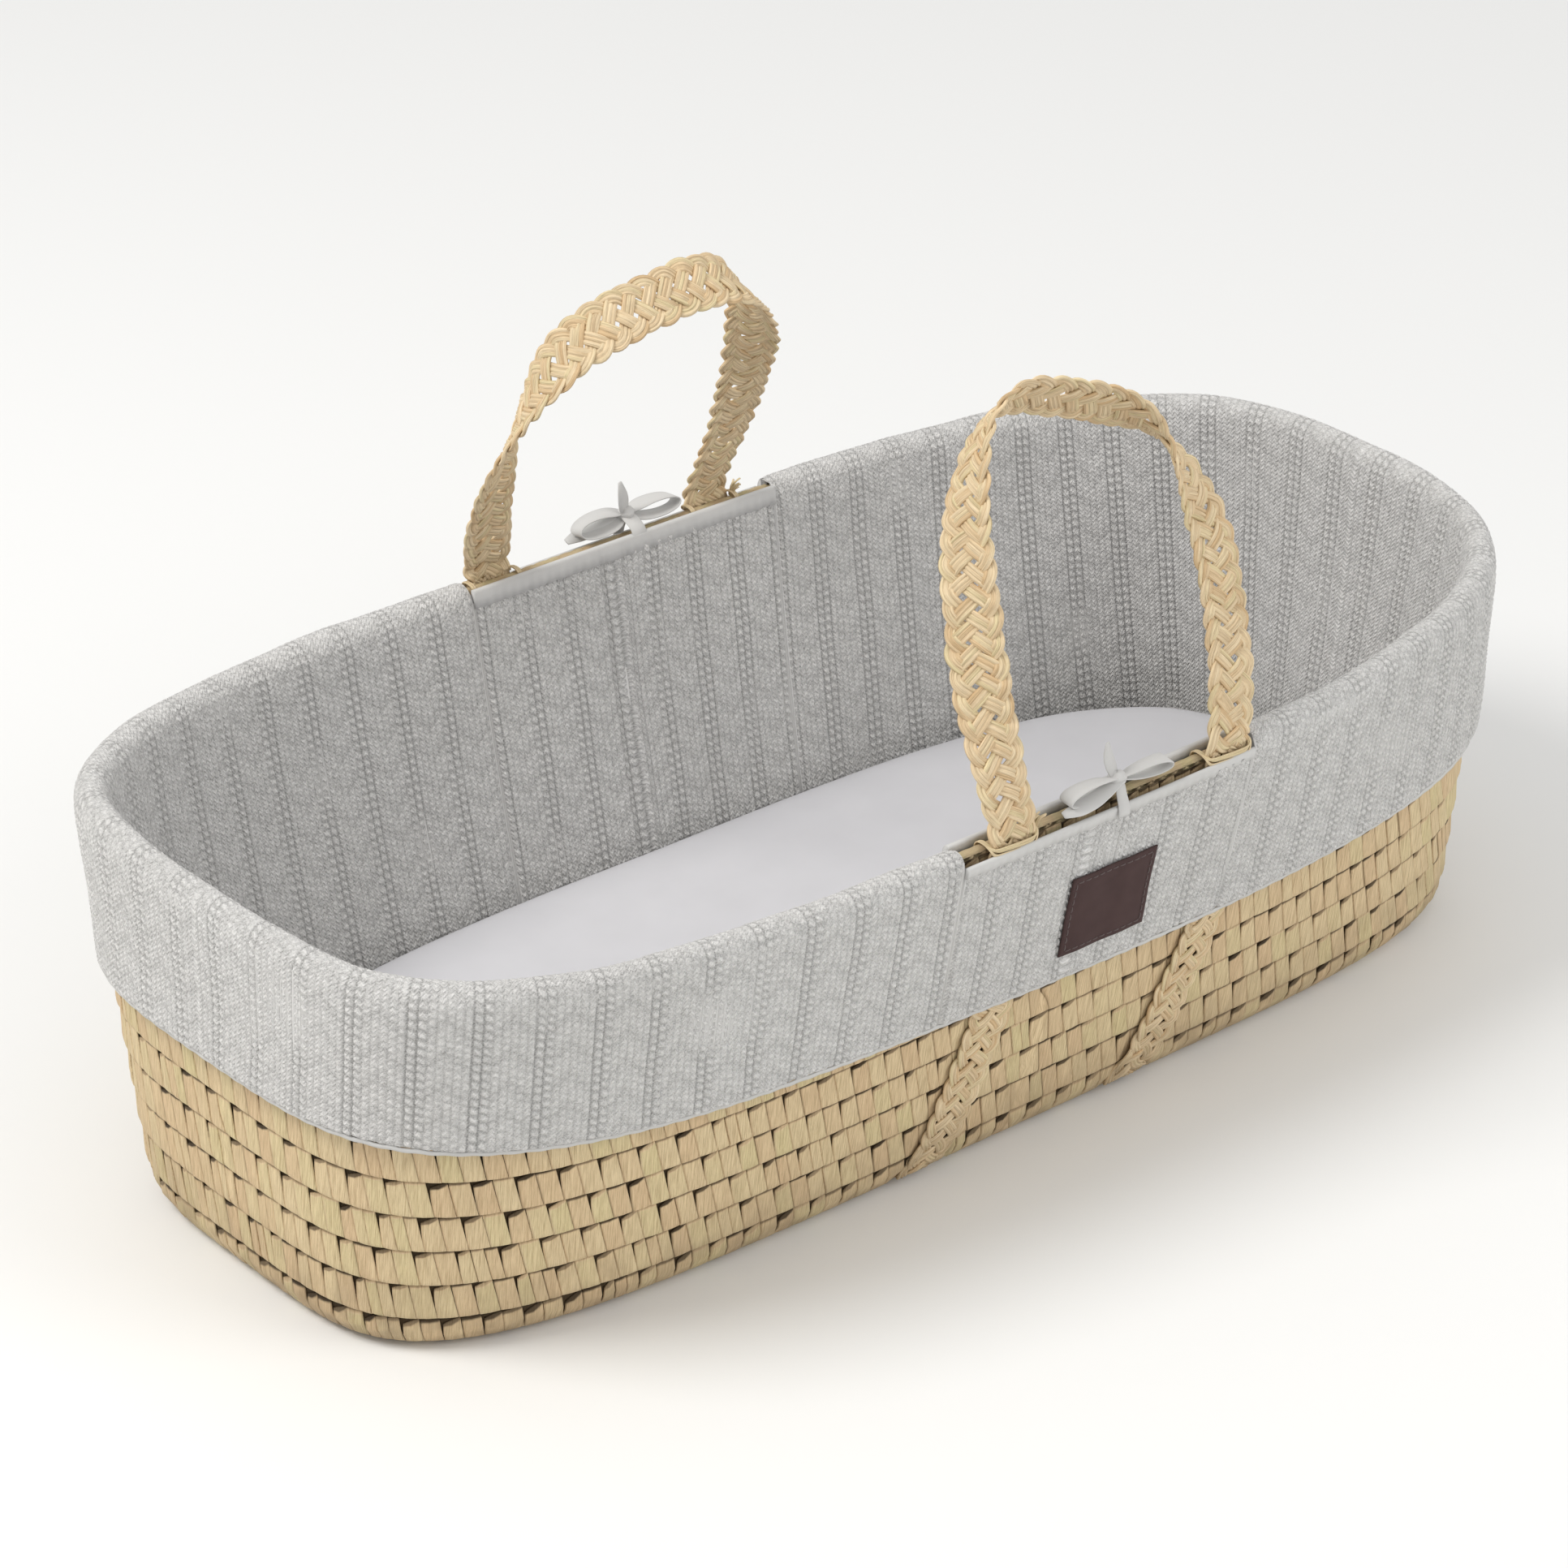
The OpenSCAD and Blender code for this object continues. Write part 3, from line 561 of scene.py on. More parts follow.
def skirt_rows(a, s, top):
    hem_h = hem_share(a)
    count = int((top * RIM_HEIGHT - HEM_HEIGHT) * ROWS_PER_MM * 1.06)
    h = mix(hem_h, top, np.linspace(0, 1, count)[:, None])
    curl = 1 - np.clip((h - hem_h) * rim_height(a) / 2.4, 0, 1)
    roll = 1.7 * (1 - np.sqrt(np.clip(1 - curl**2, 0, 1)))
    return h, SKIRT_OUT + skirt_flare(a, s, h, hem_h) - roll, -below_fold(h), 1.0, 0.0


def fold_rows(s):
    count = int(FOLD_LENGTH * ROWS_PER_MM * 1.3)
    t = np.linspace(0, math.pi, count + 2)[1:-1, None]
    h = FOLD_H + (1 - FOLD_H) * np.sin(t) + 0 * s
    return h, FOLD_MIDDLE + FOLD * np.cos(t), (t / math.pi - 0.5) * FOLD_LENGTH, np.cos(t), np.sin(t)


def lining_rows(a, top):
    count = int(top * RIM_HEIGHT * ROWS_PER_MM)
    h = mix(top, share_at(a, LINING_FOOT_Z), np.linspace(0, 1, count)[:, None])
    return h, LINING_IN, below_fold(h), -1.0, 0.0


def back_points(a, edge, skirt, fold, lining):
    """The hidden side of a cover panel, in few rows, going back from the front's last row to its first."""
    rows = []
    skirt_back, lining_back = SKIRT_OUT - KNIT_BACK, LINING_IN + KNIT_BACK
    if lining:
        foot_h = share_at(a, LINING_FOOT_Z)
        rows += [(mix(foot_h, edge, t), lining_back) for t in (0.0, 0.25, 0.5, 0.75, 1.0)]
    if fold:
        middle, reach = (skirt_back + lining_back) / 2, (skirt_back - lining_back) / 2
        for t in np.linspace(math.pi, 0, 7)[1:-1]:
            rows.append((FOLD_H + (1 - FOLD_H) * 0.84 * math.sin(t), middle + reach * math.cos(t)))
    if skirt:
        rows += [(mix(edge, hem_share(a), t), skirt_back + 0.4) for t in (0.0, 0.33, 0.66, 0.99)]
    return np.concatenate([wall_point(a, h + 0 * a, d) for h, d in rows])


def cover_panel(name, span, edge, skirt=True, fold=False, lining=True, puckers=0.0):
    """A knit panel: a skirt up to height edge, the fold over the rim and a lining down from edge, or some."""
    s = panel_columns(*span)[None, :]
    a = length_to_angle(s)
    blocks = []
    if skirt:
        blocks.append(skirt_rows(a, s, edge))
    if fold:
        blocks.append(fold_rows(s))
    if lining:
        blocks.append(lining_rows(a, edge))
    ends = smoothstep(0, 3.5, s - span[0]) * smoothstep(0, 3.5, span[1] - s)
    points, uv, reliefs = [], [], []
    for h, d, v, out, up in blocks:
        relief = knit_relief(s, v)
        calm = ends * mix(0.45, 1.0, smoothstep(8, 26, np.abs(v)))
        raised = (relief * calm - 0.75) + soft_wave(s, v) * ends - 0.9 * (1 - ends)
        gathers = np.exp(-np.abs(h - edge) * RIM_HEIGHT / 11) * np.sin(s * 2 * math.pi / 8.3)
        raised = raised + puckers * gathers
        points.append(wall_point(a, h, d + raised * out, raised * up))
        uv.append(grid_uv(s, v))
        # This relief, scaled 0 to 1, also sets the knit material's painted shade in its grooves
        reliefs.append(np.clip(relief / 1.25, 0, 1))
    back = back_points(a, edge, skirt, fold, lining)
    points = np.concatenate([*points, back])
    uv = np.concatenate([*uv, np.repeat(uv[0][:1], len(back), axis=0)])
    rows, cols = points.shape[:2]
    relief = np.concatenate([*reliefs, np.full((len(back), cols), 0.6)])
    faces = grid_faces(rows, cols, wrap_rows=True)
    faces.append([r * cols for r in range(rows)])
    faces.append([r * cols + cols - 1 for r in range(rows)][::-1])
    return make_mesh(name, points, faces, uv, {"relief": relief})


def rounded_section(low, high, outer, inner, count=5):
    """A folded tape's section as (height in mm, offset) pairs, rounded at the top."""
    r = (outer - inner) / 2
    middle = (outer + inner) / 2
    turn = np.linspace(0, math.pi, count)
    top = [(high - r + r * math.sin(t), middle + r * math.cos(t)) for t in turn]
    return [(low, outer), (mix(low, high, 0.5), outer), *top, (mix(low, high, 0.5), inner), (low, inner)]


# Height of a binding's lower edge and its top, and the offsets of its outer and inner face
SKIRT_TAPE = (SKIRT_SEAM_H, SKIRT_BINDING_H, SKIRT_OUT, SKIRT_IN)
LINING_TAPE = (LINING_EDGE_H, LINING_BINDING_H, LINING_OUT, LINING_IN - 0.6)
# How far the knit runs up into a binding
SEAM_H = 0.006


def binding(name, span, tape, replaces):
    """A smooth cotton tape folded over a slot's edge, a little puckered where it is sewn on."""
    low_h, high_h, outer, inner = tape
    s = np.arange(span[0] + 0.3, span[1], 1.5)
    a = length_to_angle(s)
    section = rounded_section(low_h * RIM_HEIGHT - 1.0, high_h * RIM_HEIGHT, outer + 0.9, inner - 0.3)
    pucker = 0.28 * np.sin(s * 2 * math.pi / 6.1) + 0.25 * np.sin(s * 2 * math.pi / 17 + 1)
    rings, uv = [], []
    for k, (z, d) in enumerate(section):
        low = smoothstep(high_h * RIM_HEIGHT, low_h * RIM_HEIGHT, z)
        rings.append(wall_point(a, z / RIM_HEIGHT + 0 * a, d + low * pucker * (1 if k < 5 else -1)))
        uv.append(np.stack([s, z + 0 * s + 12 * (k > 5)], axis=-1))
    parts = Parts()
    swept(np.stack(rings, axis=1), np.stack(uv, axis=1), 0.5, parts)
    return finish_piece(parts.build(name), "cotton_trim", replaces)


def cord_loop(name, ring, lengths, body, replaces):
    """A thin cord closed on itself, through the paths of its eight points, with lengths in mm along it."""
    parts = Parts()
    looped(np.stack(ring, axis=1), grid_uv(lengths[:, None], np.arange(len(ring)) * 1.2), 0.5, parts)
    return finish_piece(parts.build(name), "cotton_trim", replaces, body)


def hem_cord():
    s = np.arange(0, OUTLINE, 2.0)
    a = length_to_angle(s)
    x = wall_xy(a, 0.5, 0)[0]
    flare = skirt_flare(a, s, 0, 0)
    ring = []
    for k in full_turn(8):
        z = hem_z(x) - 1.2 + 1.5 * math.sin(k) + 0.25 * np.sin(s / 2.1)
        ring.append(wall_point(a, z / rim_z(x), SKIRT_OUT - 1.7 + 0.9 * flare + 0.8 * math.cos(k)))
    return cord_loop("hem_cord", ring, s, "basket", "hem_elastic")


def build_cover():
    cord = hem_cord()
    for end in ("foot", "head"):
        panel = cover_panel(f"cover_{end}", SPANS[end], FOLD_H, fold=True)
        finish_piece(panel, "cable_knit", f"cover_{end}_panel")
    for side in SIDE_NAMES.values():
        span = SPANS[side]
        skirt = cover_panel(f"skirt_{side}", span, SKIRT_SEAM_H + SEAM_H, lining=False, puckers=0.25)
        finish_piece(skirt, "cable_knit", f"cover_{side}_skirt")
        lining = cover_panel(f"lining_{side}", span, LINING_EDGE_H + SEAM_H, skirt=False, puckers=0.7)
        finish_piece(lining, "cable_knit", f"cover_{side}_lining")
        outer_edge = binding(f"skirt_binding_{side}", span, SKIRT_TAPE, f"binding_{side}_skirt")
        inner_edge = binding(f"lining_binding_{side}", span, LINING_TAPE, f"binding_{side}_lining")


build_cover()

# ---- Palm basket ----

COURSE_H = WALL_TOP_H * RIM_HEIGHT / COURSES
EDGE_ARC = math.pi / 2 * EDGE_R
# Width of a tile of the palm weave, and of one turn of the strip that binds the rim
TILE_W, WRAP_PITCH = 22.6, 8.5
# How flat the straps press the strips under them, from 0 to 1
STRAP_PRESS = 0.85
# Shares of a palm strip's width and height at which it has points
STRIP_U = np.array([0, 0.12, 0.5, 0.88, 1.0, 1.0, 0.0])
STRIP_BACK = np.array([0, 0, 0, 0, 0, 1.0, 1.0])
STRIP_V = np.array([0, 0.04, 0.12, 0.4, 0.72, 0.9, 0.96, 1.0])


def strap_x(places, h):
    """x of a strap's centre line at height h, from its three places."""
    rim, bend, floor = places
    upper = mix(bend, rim, (h - STRAP_BEND_H) / (1 - STRAP_BEND_H))
    return np.where(h > STRAP_BEND_H, upper, mix(floor, bend, h / STRAP_BEND_H))


def strap_lane(x, y, h, beyond=0.5):
    """1 under a strap on a side wall, up to so many mm beyond its edges, and 0 away from it."""
    lane = np.zeros(np.broadcast(x, y, h).shape)
    for places in STRAPS.values():
        for side in (NEAR, FAR):
            away = np.abs(x - strap_x(places[side], h)) - STRAP_W / 2
            lane = np.maximum(lane, np.where(y * side > 100, 1 - smoothstep(beyond, beyond + 3, away), 0))
    return lane


def course_point(course, a, v, out):
    """A point of a palm course, counted from 0, at angle a and share v of its height, out mm proud of it."""
    if course:
        h = (course + v) * WALL_TOP_H / COURSES
        x, y = wall_xy(a, h, 0)
        pressed = np.where(out > 0, out * (1 - STRAP_PRESS * strap_lane(x, y, h)), out)
        return wall_point(a, h, pressed)
    # The lowest course turns under the basket along the base's rounded edge
    straight = COURSE_H - EDGE_R
    down = (1 - v) * (straight + EDGE_ARC) + 0 * out
    turn = np.clip((down - straight) / EDGE_R, 0, math.pi / 2)
    z = np.where(down < straight, COURSE_H - down, EDGE_R * (1 - np.sin(turn)))
    h = share_at(a, z)
    x, y = wall_xy(a, h, 0)
    lane = strap_lane(x, y, h)
    pressed = np.where(out > 0, out * (1 - STRAP_PRESS * lane), out)
    d = palm_d(h) + pressed * np.cos(turn) - EDGE_R * (1 - np.cos(turn)) - 0.8 * lane * np.sin(turn)
    x, y = wall_xy(a, h, d)
    z = np.maximum(z - np.minimum(pressed, 0) * np.sin(turn), 0.3) + 4.2 * lane * np.sin(turn)
    return np.stack([x, y, z], axis=-1)


def strip_table(length, rng):
    """For each strip of a course: left and right edge, gap at its top, wedge down its left, tone, tilt."""
    count = round(length / TILE_W)
    width = length / count
    rows = []
    for tile in range(count):
        shares = [0.5, 0.5] if rng.random() > 0.2 else [0.36, 0.32, 0.32]
        left = tile * width
        for k, share in enumerate(shares):
            first = k == 0
            right = left + share * width
            gap = rng.uniform(2.6, 4.0) if first else rng.uniform(0.4, 1.1)
            wedge = rng.uniform(1.8, 3.2) if first else rng.uniform(0.2, 0.7)
            rows.append((left, right, gap, wedge, rng.random(), rng.uniform(-0.4, 0.4)))
            left = right
    return np.array(rows).T


def under_straps(points):
    """How deep in the straps' shade the wall's points lie, 0 to 1."""
    x, y, z = np.moveaxis(points, -1, 0)
    return strap_lane(x, y, z / RIM_HEIGHT, -6.0)


def add_strips(parts, place, length, rng, flip=False):
    """Adds a course of palm strips. place(s, v, out) gives a point at s mm along the course."""
    table = strip_table(length, rng)
    left, right, gap, wedge, tone, tilt = (column[:, None, None] for column in table)
    u, back, v = STRIP_U[None, None, :], STRIP_BACK[None, None, :], STRIP_V[None, :, None]
    lean = 6.0 * v
    s = mix(left + wedge * v**2, right - 0.2, u) - lean
    share = v * (1 - gap * (1 - u**3) / COURSE_H)
    foot = 1 - np.sqrt(1 - (1 - np.minimum(v / 0.12, 1)) ** 2)
    out = 1.5 - 2.0 * v**0.8 - 1.3 * foot + 0.3 * (1 - (2 * u - 1) ** 2) + 1.6 * tilt * (u - 0.5)
    out = out - back * 0.9
    points = place(s, share, out)
    count, rows, around = points.shape[:3]
    uv = grid_uv(s, v * COURSE_H + 300 * tone)
    shell = np.array(grid_faces(rows, around, wrap_cols=True))
    # Painted shadow: a dark line along each strip's top, under the course above, and down its left edge. The
    # strips under the straps also get painted shade.
    painted_edge_shadow = np.maximum(1.1 * (v > 0.95), 0.5 * (u < 0.05)) + 0 * s
    shaded = mix(tone - painted_edge_shadow, -0.9, 0.85 * under_straps(points))
    for k in range(count):
        faces = shell[:, ::-1].tolist() if flip else shell.tolist()
        faces += [list(range(around))[::-1], [(rows - 1) * around + j for j in range(around)]]
        parts.add(points[k], faces, uv[k], shaded[k].ravel())


def palm_course(course):
    rng = np.random.default_rng(SEED + course)
    parts = Parts()
    shift = rng.uniform(0, TILE_W)

    def outside(s, v, out):
        return course_point(course, length_to_angle((s + shift) % OUTLINE), v, out)

    def inside(s, v, out):
        return course_point(course, length_to_angle((s + shift) % OUTLINE), v, -WALL_T - 0.3 * out)

    # The core ring behind the strips has tone -1: it is painted near black, as the shade seen through the
    # slots between them
    s = np.arange(0, OUTLINE, 6.0)
    a = length_to_angle(s)
    shares = [0, 0.15, 0.3, 0.45, 0.6, 0.75, 0.9, 1] if course == 0 else [0, 0.5, 1]
    ring = [(v, -1.6) for v in shares] + [(v, 1.6 - WALL_T) for v in shares[::-1]]
    points = np.stack([course_point(course, a, v, np.full_like(a, out)) for v, out in ring], axis=1)
    looped(points, grid_uv(s[:, None], np.arange(len(ring)) * 4.0), -1.0, parts)
    add_strips(parts, outside, OUTLINE, rng)
    add_strips(parts, inside, OUTLINE, rng, flip=True)
    obj = parts.build(f"palm_course_{course + 1:02d}")
    finish_piece(obj, "palm_weave", f"wall_course_{course + 1:02d}")


def base_ring_point(ring, share, v, out, up):
    """A point of a base ring, counted in from the edge, on the base's underside or, if up, on top of it."""
    inset = EDGE_R + (ring + v) * COURSE_H
    a = share * 2 * math.pi
    n = power(a, BASE_HEAD_POWER, BASE_FOOT_POWER)
    ux, uy = unit_oval(a, n)
    x, y = ux * (BASE_LENGTH / 2 - inset), uy * np.maximum(BASE_WIDTH / 2 - inset, 0.5)
    lane = np.zeros(np.shape(x))
    for places in STRAPS.values():
        lane = np.maximum(lane, 1 - smoothstep(0.5, 3.5, np.abs(x - places[NEAR][2]) - STRAP_W / 2))
    low = 1.6 + 3.3 * lane - np.clip(out, -0.4, 1.3)
    high = BASE_T - 1.4 + np.clip(out, -0.4, 1.3)
    return np.stack([x, y, np.where(up, high, low)], axis=-1)


def palm_base():
    parts = Parts()
    rings = int((BASE_WIDTH / 2 - EDGE_R) // COURSE_H)
    for ring in range(rings):
        rng = np.random.default_rng(SEED + 50 + ring)
        length = OUTLINE - 2 * math.pi * (EDGE_R + ring * COURSE_H)
        for up in (False, True):

            def place(s, v, out, ring=ring, length=length, up=up):
                return base_ring_point(ring, s / length, v, out, up)

            add_strips(parts, place, length, rng, flip=not up)
    # The backing behind the rings has tone -0.8: it is painted near black, as shade in the gaps between the
    # strips
    share = np.linspace(0, 1, 240, endpoint=False)
    flat = np.full_like(share, -0.4)
    backing = [base_ring_point(k, share, 0.0, flat, False) for k in range(rings + 1)]
    backing += [base_ring_point(k, share, 0.0, flat, True) for k in range(rings, -1, -1)]
    uv = grid_uv(share[:, None] * OUTLINE, np.arange(len(backing)) * COURSE_H)
    looped(np.stack(backing, axis=1), uv, -0.8, parts)
    finish_piece(parts.build("palm_base"), "palm_weave", "base_panel")


def palm_rim():
    """The palm wall's top edge, bound with a flat strip wound round it."""
    s = np.arange(0, OUTLINE, 1.4)
    a = length_to_angle(s)
    low, high = WALL_TOP_H * RIM_HEIGHT, RIM_TOP_H * RIM_HEIGHT
    section = rounded_section(low, high, -0.2, -WALL_T + 0.2, 7)
    rings, uv = [], []
    for k, (z, d) in enumerate(section):
        turn = (s + 0.9 * z - 2.2 * abs(k - 5)) / WRAP_PITCH
        wrap = 0.7 * np.sqrt(np.clip(1 - (2 * (turn % 1) - 1) ** 2, 0, 1)) - 0.5
        side = (d + WALL_T / 2) / (WALL_T / 2)
        rings.append(wall_point(a, z / RIM_HEIGHT + 0 * a, d + wrap * side, wrap * (1 - abs(side))))
        uv.append(np.stack([z + 0 * s + 10 * k, s], axis=-1))
    wraps = (s[:, None] / WRAP_PITCH + np.zeros(len(section))).astype(int)
    tone = (wraps * 0.618) % 1
    parts = Parts()
    looped(np.stack(rings, axis=1), np.stack(uv, axis=1), tone.ravel(), parts)
    finish_piece(parts.build("palm_rim"), "palm_weave", "rim_binding")


# ---- Plaits ----

STRANDS, STRAND_HALF = 5, 3.65
PLAIT_PERIOD, PLAIT_STEP = 57.0, 1.5
PLAIT_REACH = 12.2
# Heights in mm through which a handle's feet run down in front of the rim, over the straps' ends
FOOT_HEIGHTS = [222.5, 225, 227.5, 230]
# Outline of a strand's upper side, as shares of its half width and half thickness: three ribs of leaf
RIBS = np.array(
    [(-1, 0.2), (-0.86, 0.8), (-0.64, 1), (-0.4, 0.75), (-0.32, 0.4), (-0.24, 0.8), (0, 1.1)]
    + [(0.24, 0.8), (0.32, 0.4), (0.4, 0.75), (0.64, 1), (0.86, 0.8), (1, 0.2)]
)


def unit(v):
    return v / np.linalg.norm(v, axis=-1, keepdims=True)


def resampled(path, values, step):
    """Points every step mm along a path, with other vectors taken along, all smoothed a little."""
    lengths = np.concatenate([[0], np.cumsum(np.linalg.norm(np.diff(path, axis=0), axis=1))])
    count = max(int(lengths[-1] / step), 4)
    t = np.linspace(0, lengths[-1], count)
    out = []
    for field in (path, values):
        made = np.stack([np.interp(t, lengths, field[:, k]) for k in range(3)], axis=-1)
        padded = np.concatenate([2 * made[:1] - made[3:0:-1], made, 2 * made[-1:] - made[-2:-5:-1]])
        kernel = np.array([1, 3, 5, 6, 5, 3, 1]) / 24
        out.append(sum(k * padded[i : i + len(made)] for i, k in enumerate(kernel)))
    return t, out[0], out[1]


def plait(parts, path, across, rng, half_thick, sway, fullness=1.0):
    """Flat strands plaited over and under along a path whose width runs along across."""
    t, centre, wide = resampled(np.asarray(path, float), np.asarray(across, float), PLAIT_STEP)
    ahead = unit(np.gradient(centre, axis=0))
    wide = unit(wide - np.sum(wide * ahead, axis=1, keepdims=True) * ahead)
    out = np.cross(ahead, wide)
    reach = np.concatenate([RIBS[:, 0], RIBS[-2:0:-1, 0]]) * STRAND_HALF * fullness
    thick = np.concatenate([RIBS[:, 1], -RIBS[-2:0:-1, 1]]) * half_thick
    leaf = np.round(reach / STRAND_HALF * 1.4)
    for strand in range(STRANDS):
        start = rng.uniform(0, 6, 4)
        turn = 2 * math.pi * (t / PLAIT_PERIOD + strand / STRANDS) + 0.13 * np.sin(t / 11 + start[0])
        aside = PLAIT_REACH * np.sin(turn) + 0.45 * np.sin(t / 7 + start[1])
        lift = sway * np.sin((STRANDS - 1) * turn)
        slope = np.gradient(aside, t)
        size = np.hypot(1, slope)
        plump = 1 + 0.14 * np.sin(t / 13 + start[2])
        sections = (
            centre[:, None]
            + wide[:, None] * (aside[:, None] + reach[None] * (plump / size)[:, None])[..., None]
            - ahead[:, None] * (reach[None] * (slope / size)[:, None])[..., None]
            + out[:, None] * (lift[:, None] + thick[None])[..., None]
        )
        uv = grid_uv(reach[None] + 40 * strand, t[:, None])
        tone = 0.3 * np.sin(t[:, None] / 17 + start[3] + 2.1 * leaf[None])
        tone = 0.45 + tone + 0.25 * np.sin(leaf * 5 + strand)[None]
        swept(sections, uv, np.clip(tone, 0, 1).ravel(), parts)


def strap_wall_path(name, side, heights):
    """A strap's centre line on one wall, and its width's direction, at heights in mm."""
    path, across = [], []
    for z in heights:
        h = z / RIM_HEIGHT
        a = angle_at(float(strap_x(STRAPS[name][side], h)), side, h)
        nx, ny = rim_normal(a)
        path.append(wall_point(a, share_at(a, z), 0.3 + STRAP_T / 2))
        across.append([abs(ny), -nx * side, 0])
    return path, across


def strap(name):
    parts = Parts()
    rng = np.random.default_rng(SEED + len(name) + (name == "head"))
    path, across = [], []
    top = RIM_TOP_H * RIM_HEIGHT + 1.0
    radius = EDGE_R + 0.2 + STRAP_T / 2
    middle = BASE_WIDTH / 2 - EDGE_R + 2
    for side in (NEAR, FAR):
        wall, wide = strap_wall_path(name, side, np.linspace(top, 24, 60))
        x = STRAPS[name][side][2]
        bend = [(math.sin(t), 1 - math.cos(t)) for t in np.radians([82, 70, 58, 46, 34, 22, 10, 0])]
        edge = [[x, side * (middle + radius * out), STRAP_T / 2 + radius * up] for out, up in bend]
        flat = [[x, side * y, STRAP_T / 2 + 0.1] for y in np.linspace(middle - 6, 4, 40)]
        half = wall + edge + flat
        wide = wide + [[1, 0, 0]] * (len(edge) + len(flat))
        if side == FAR:
            half, wide = half[::-1], wide[::-1]
        path += half
        across += wide
    plait(parts, path, across, rng, 0.9, 0.75, 0.9)
    finish_piece(parts.build(f"plaited_strap_{name}"), "palm_plait", f"strap_{name}")


def leaned(p, side, lean):
    """Moves a handle's points from its own upright plane to its hinge, leaning inwards."""
    x, y, z = np.moveaxis(np.asarray(p, float), -1, 0)
    in_y = side * (HINGE_Y - z * math.sin(lean)) + y * math.cos(lean)
    in_z = HINGE_Z + z * math.cos(lean) + side * y * math.sin(lean)
    return np.stack([x, in_y, in_z], axis=-1)


def handle(side):
    """A plaited handle. Its feet run down into the slot, and bend where it hinges."""
    arch, lean_degrees = ARCHES[side]
    lean = math.radians(lean_degrees)
    a = np.radians(np.concatenate([[179.99], np.arange(178.5, 1, -1.5), [0.01]]))
    v = np.sin(a) ** (2 / ARCH_POWER)
    c = signed_pow(np.cos(a), 2 / ARCH_POWER)
    x = arch[0] + arch[1] * v + c * (HANDLE_HALF_W + 4 * ARCH_BULGE * v * (1 - v))
    z = HANDLE_RISE * v + arch[2] * c * v
    flat = np.stack([x, 0 * x, z], axis=-1)
    ahead = unit(np.gradient(flat, axis=0))
    upright = np.stack([0 * x, 0 * x, np.where(a > math.pi / 2, 1.0, -1.0)], axis=-1)
    ahead = unit(mix(upright, ahead, np.minimum(1, v / 0.12)[:, None]))
    inward = np.stack([ahead[:, 2], 0 * x, -ahead[:, 0]], axis=-1)
    most, foot_power, head_power = TWISTS[side]
    turn = np.radians(most * np.sin(a) ** np.where(a > math.pi / 2, foot_power, head_power))
    wide = np.cos(turn)[:, None] * inward + np.sin(turn)[:, None] * np.array([0, 1, 0])
    keep = z > 3
    path = leaned(flat, side, lean)[keep]
    wide = (leaned(wide, side, lean) - leaned(np.zeros(3), side, lean))[keep]
    first = [np.array(part) for part in strap_wall_path("foot", side, FOOT_HEIGHTS)]
    last = [np.array(part) for part in strap_wall_path("head", side, FOOT_HEIGHTS[::-1])]
    path = np.concatenate([first[0], path, last[0]])
    wide = np.concatenate([first[1], wide, -last[1]])
    parts = Parts()
    plait(parts, path, wide, np.random.default_rng(SEED + 20 + side), 1.0, 1.0)
    name = f"handle_{SIDE_NAMES[side]}"
    obj = parts.build(f"plaited_{name}")
    finish_piece(obj, "palm_plait", name, body=None)
    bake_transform(obj)


# Outline of a ribbon, as shares of its width and thickness
RIBBON_SECTION = np.array(
    [(-0.5, 0), (-0.46, 0.5), (-0.2, 0.62), (0.2, 0.62), (0.46, 0.5), (0.5, 0), (0.46, -0.5), (-0.46, -0.5)]
)


def ribbon(parts, path, across, width, thick, tone=0.5, step=1.5):
    """A thin flat strip along a path. width is one number or one for each of the path's points."""
    path = np.asarray(path, float)
    width = np.broadcast_to(np.asarray(width, float), len(path))
    across = np.broadcast_to(np.asarray(across, float), path.shape)
    t, centre, sized = resampled(path, unit(across) * width[:, None], step)
    wide = np.linalg.norm(sized, axis=1, keepdims=True)
    ahead = unit(np.gradient(centre, axis=0))
    side = unit(sized - np.sum(sized * ahead, axis=1, keepdims=True) * ahead)
    out = np.cross(ahead, side)
    aside, up = RIBBON_SECTION[None, :, 0] * wide, RIBBON_SECTION[None, :, 1] * thick + 0 * wide
    sections = centre[:, None] + side[:, None] * aside[..., None] + out[:, None] * up[..., None]
    swept(sections, grid_uv(aside, t[:, None]), tone, parts)


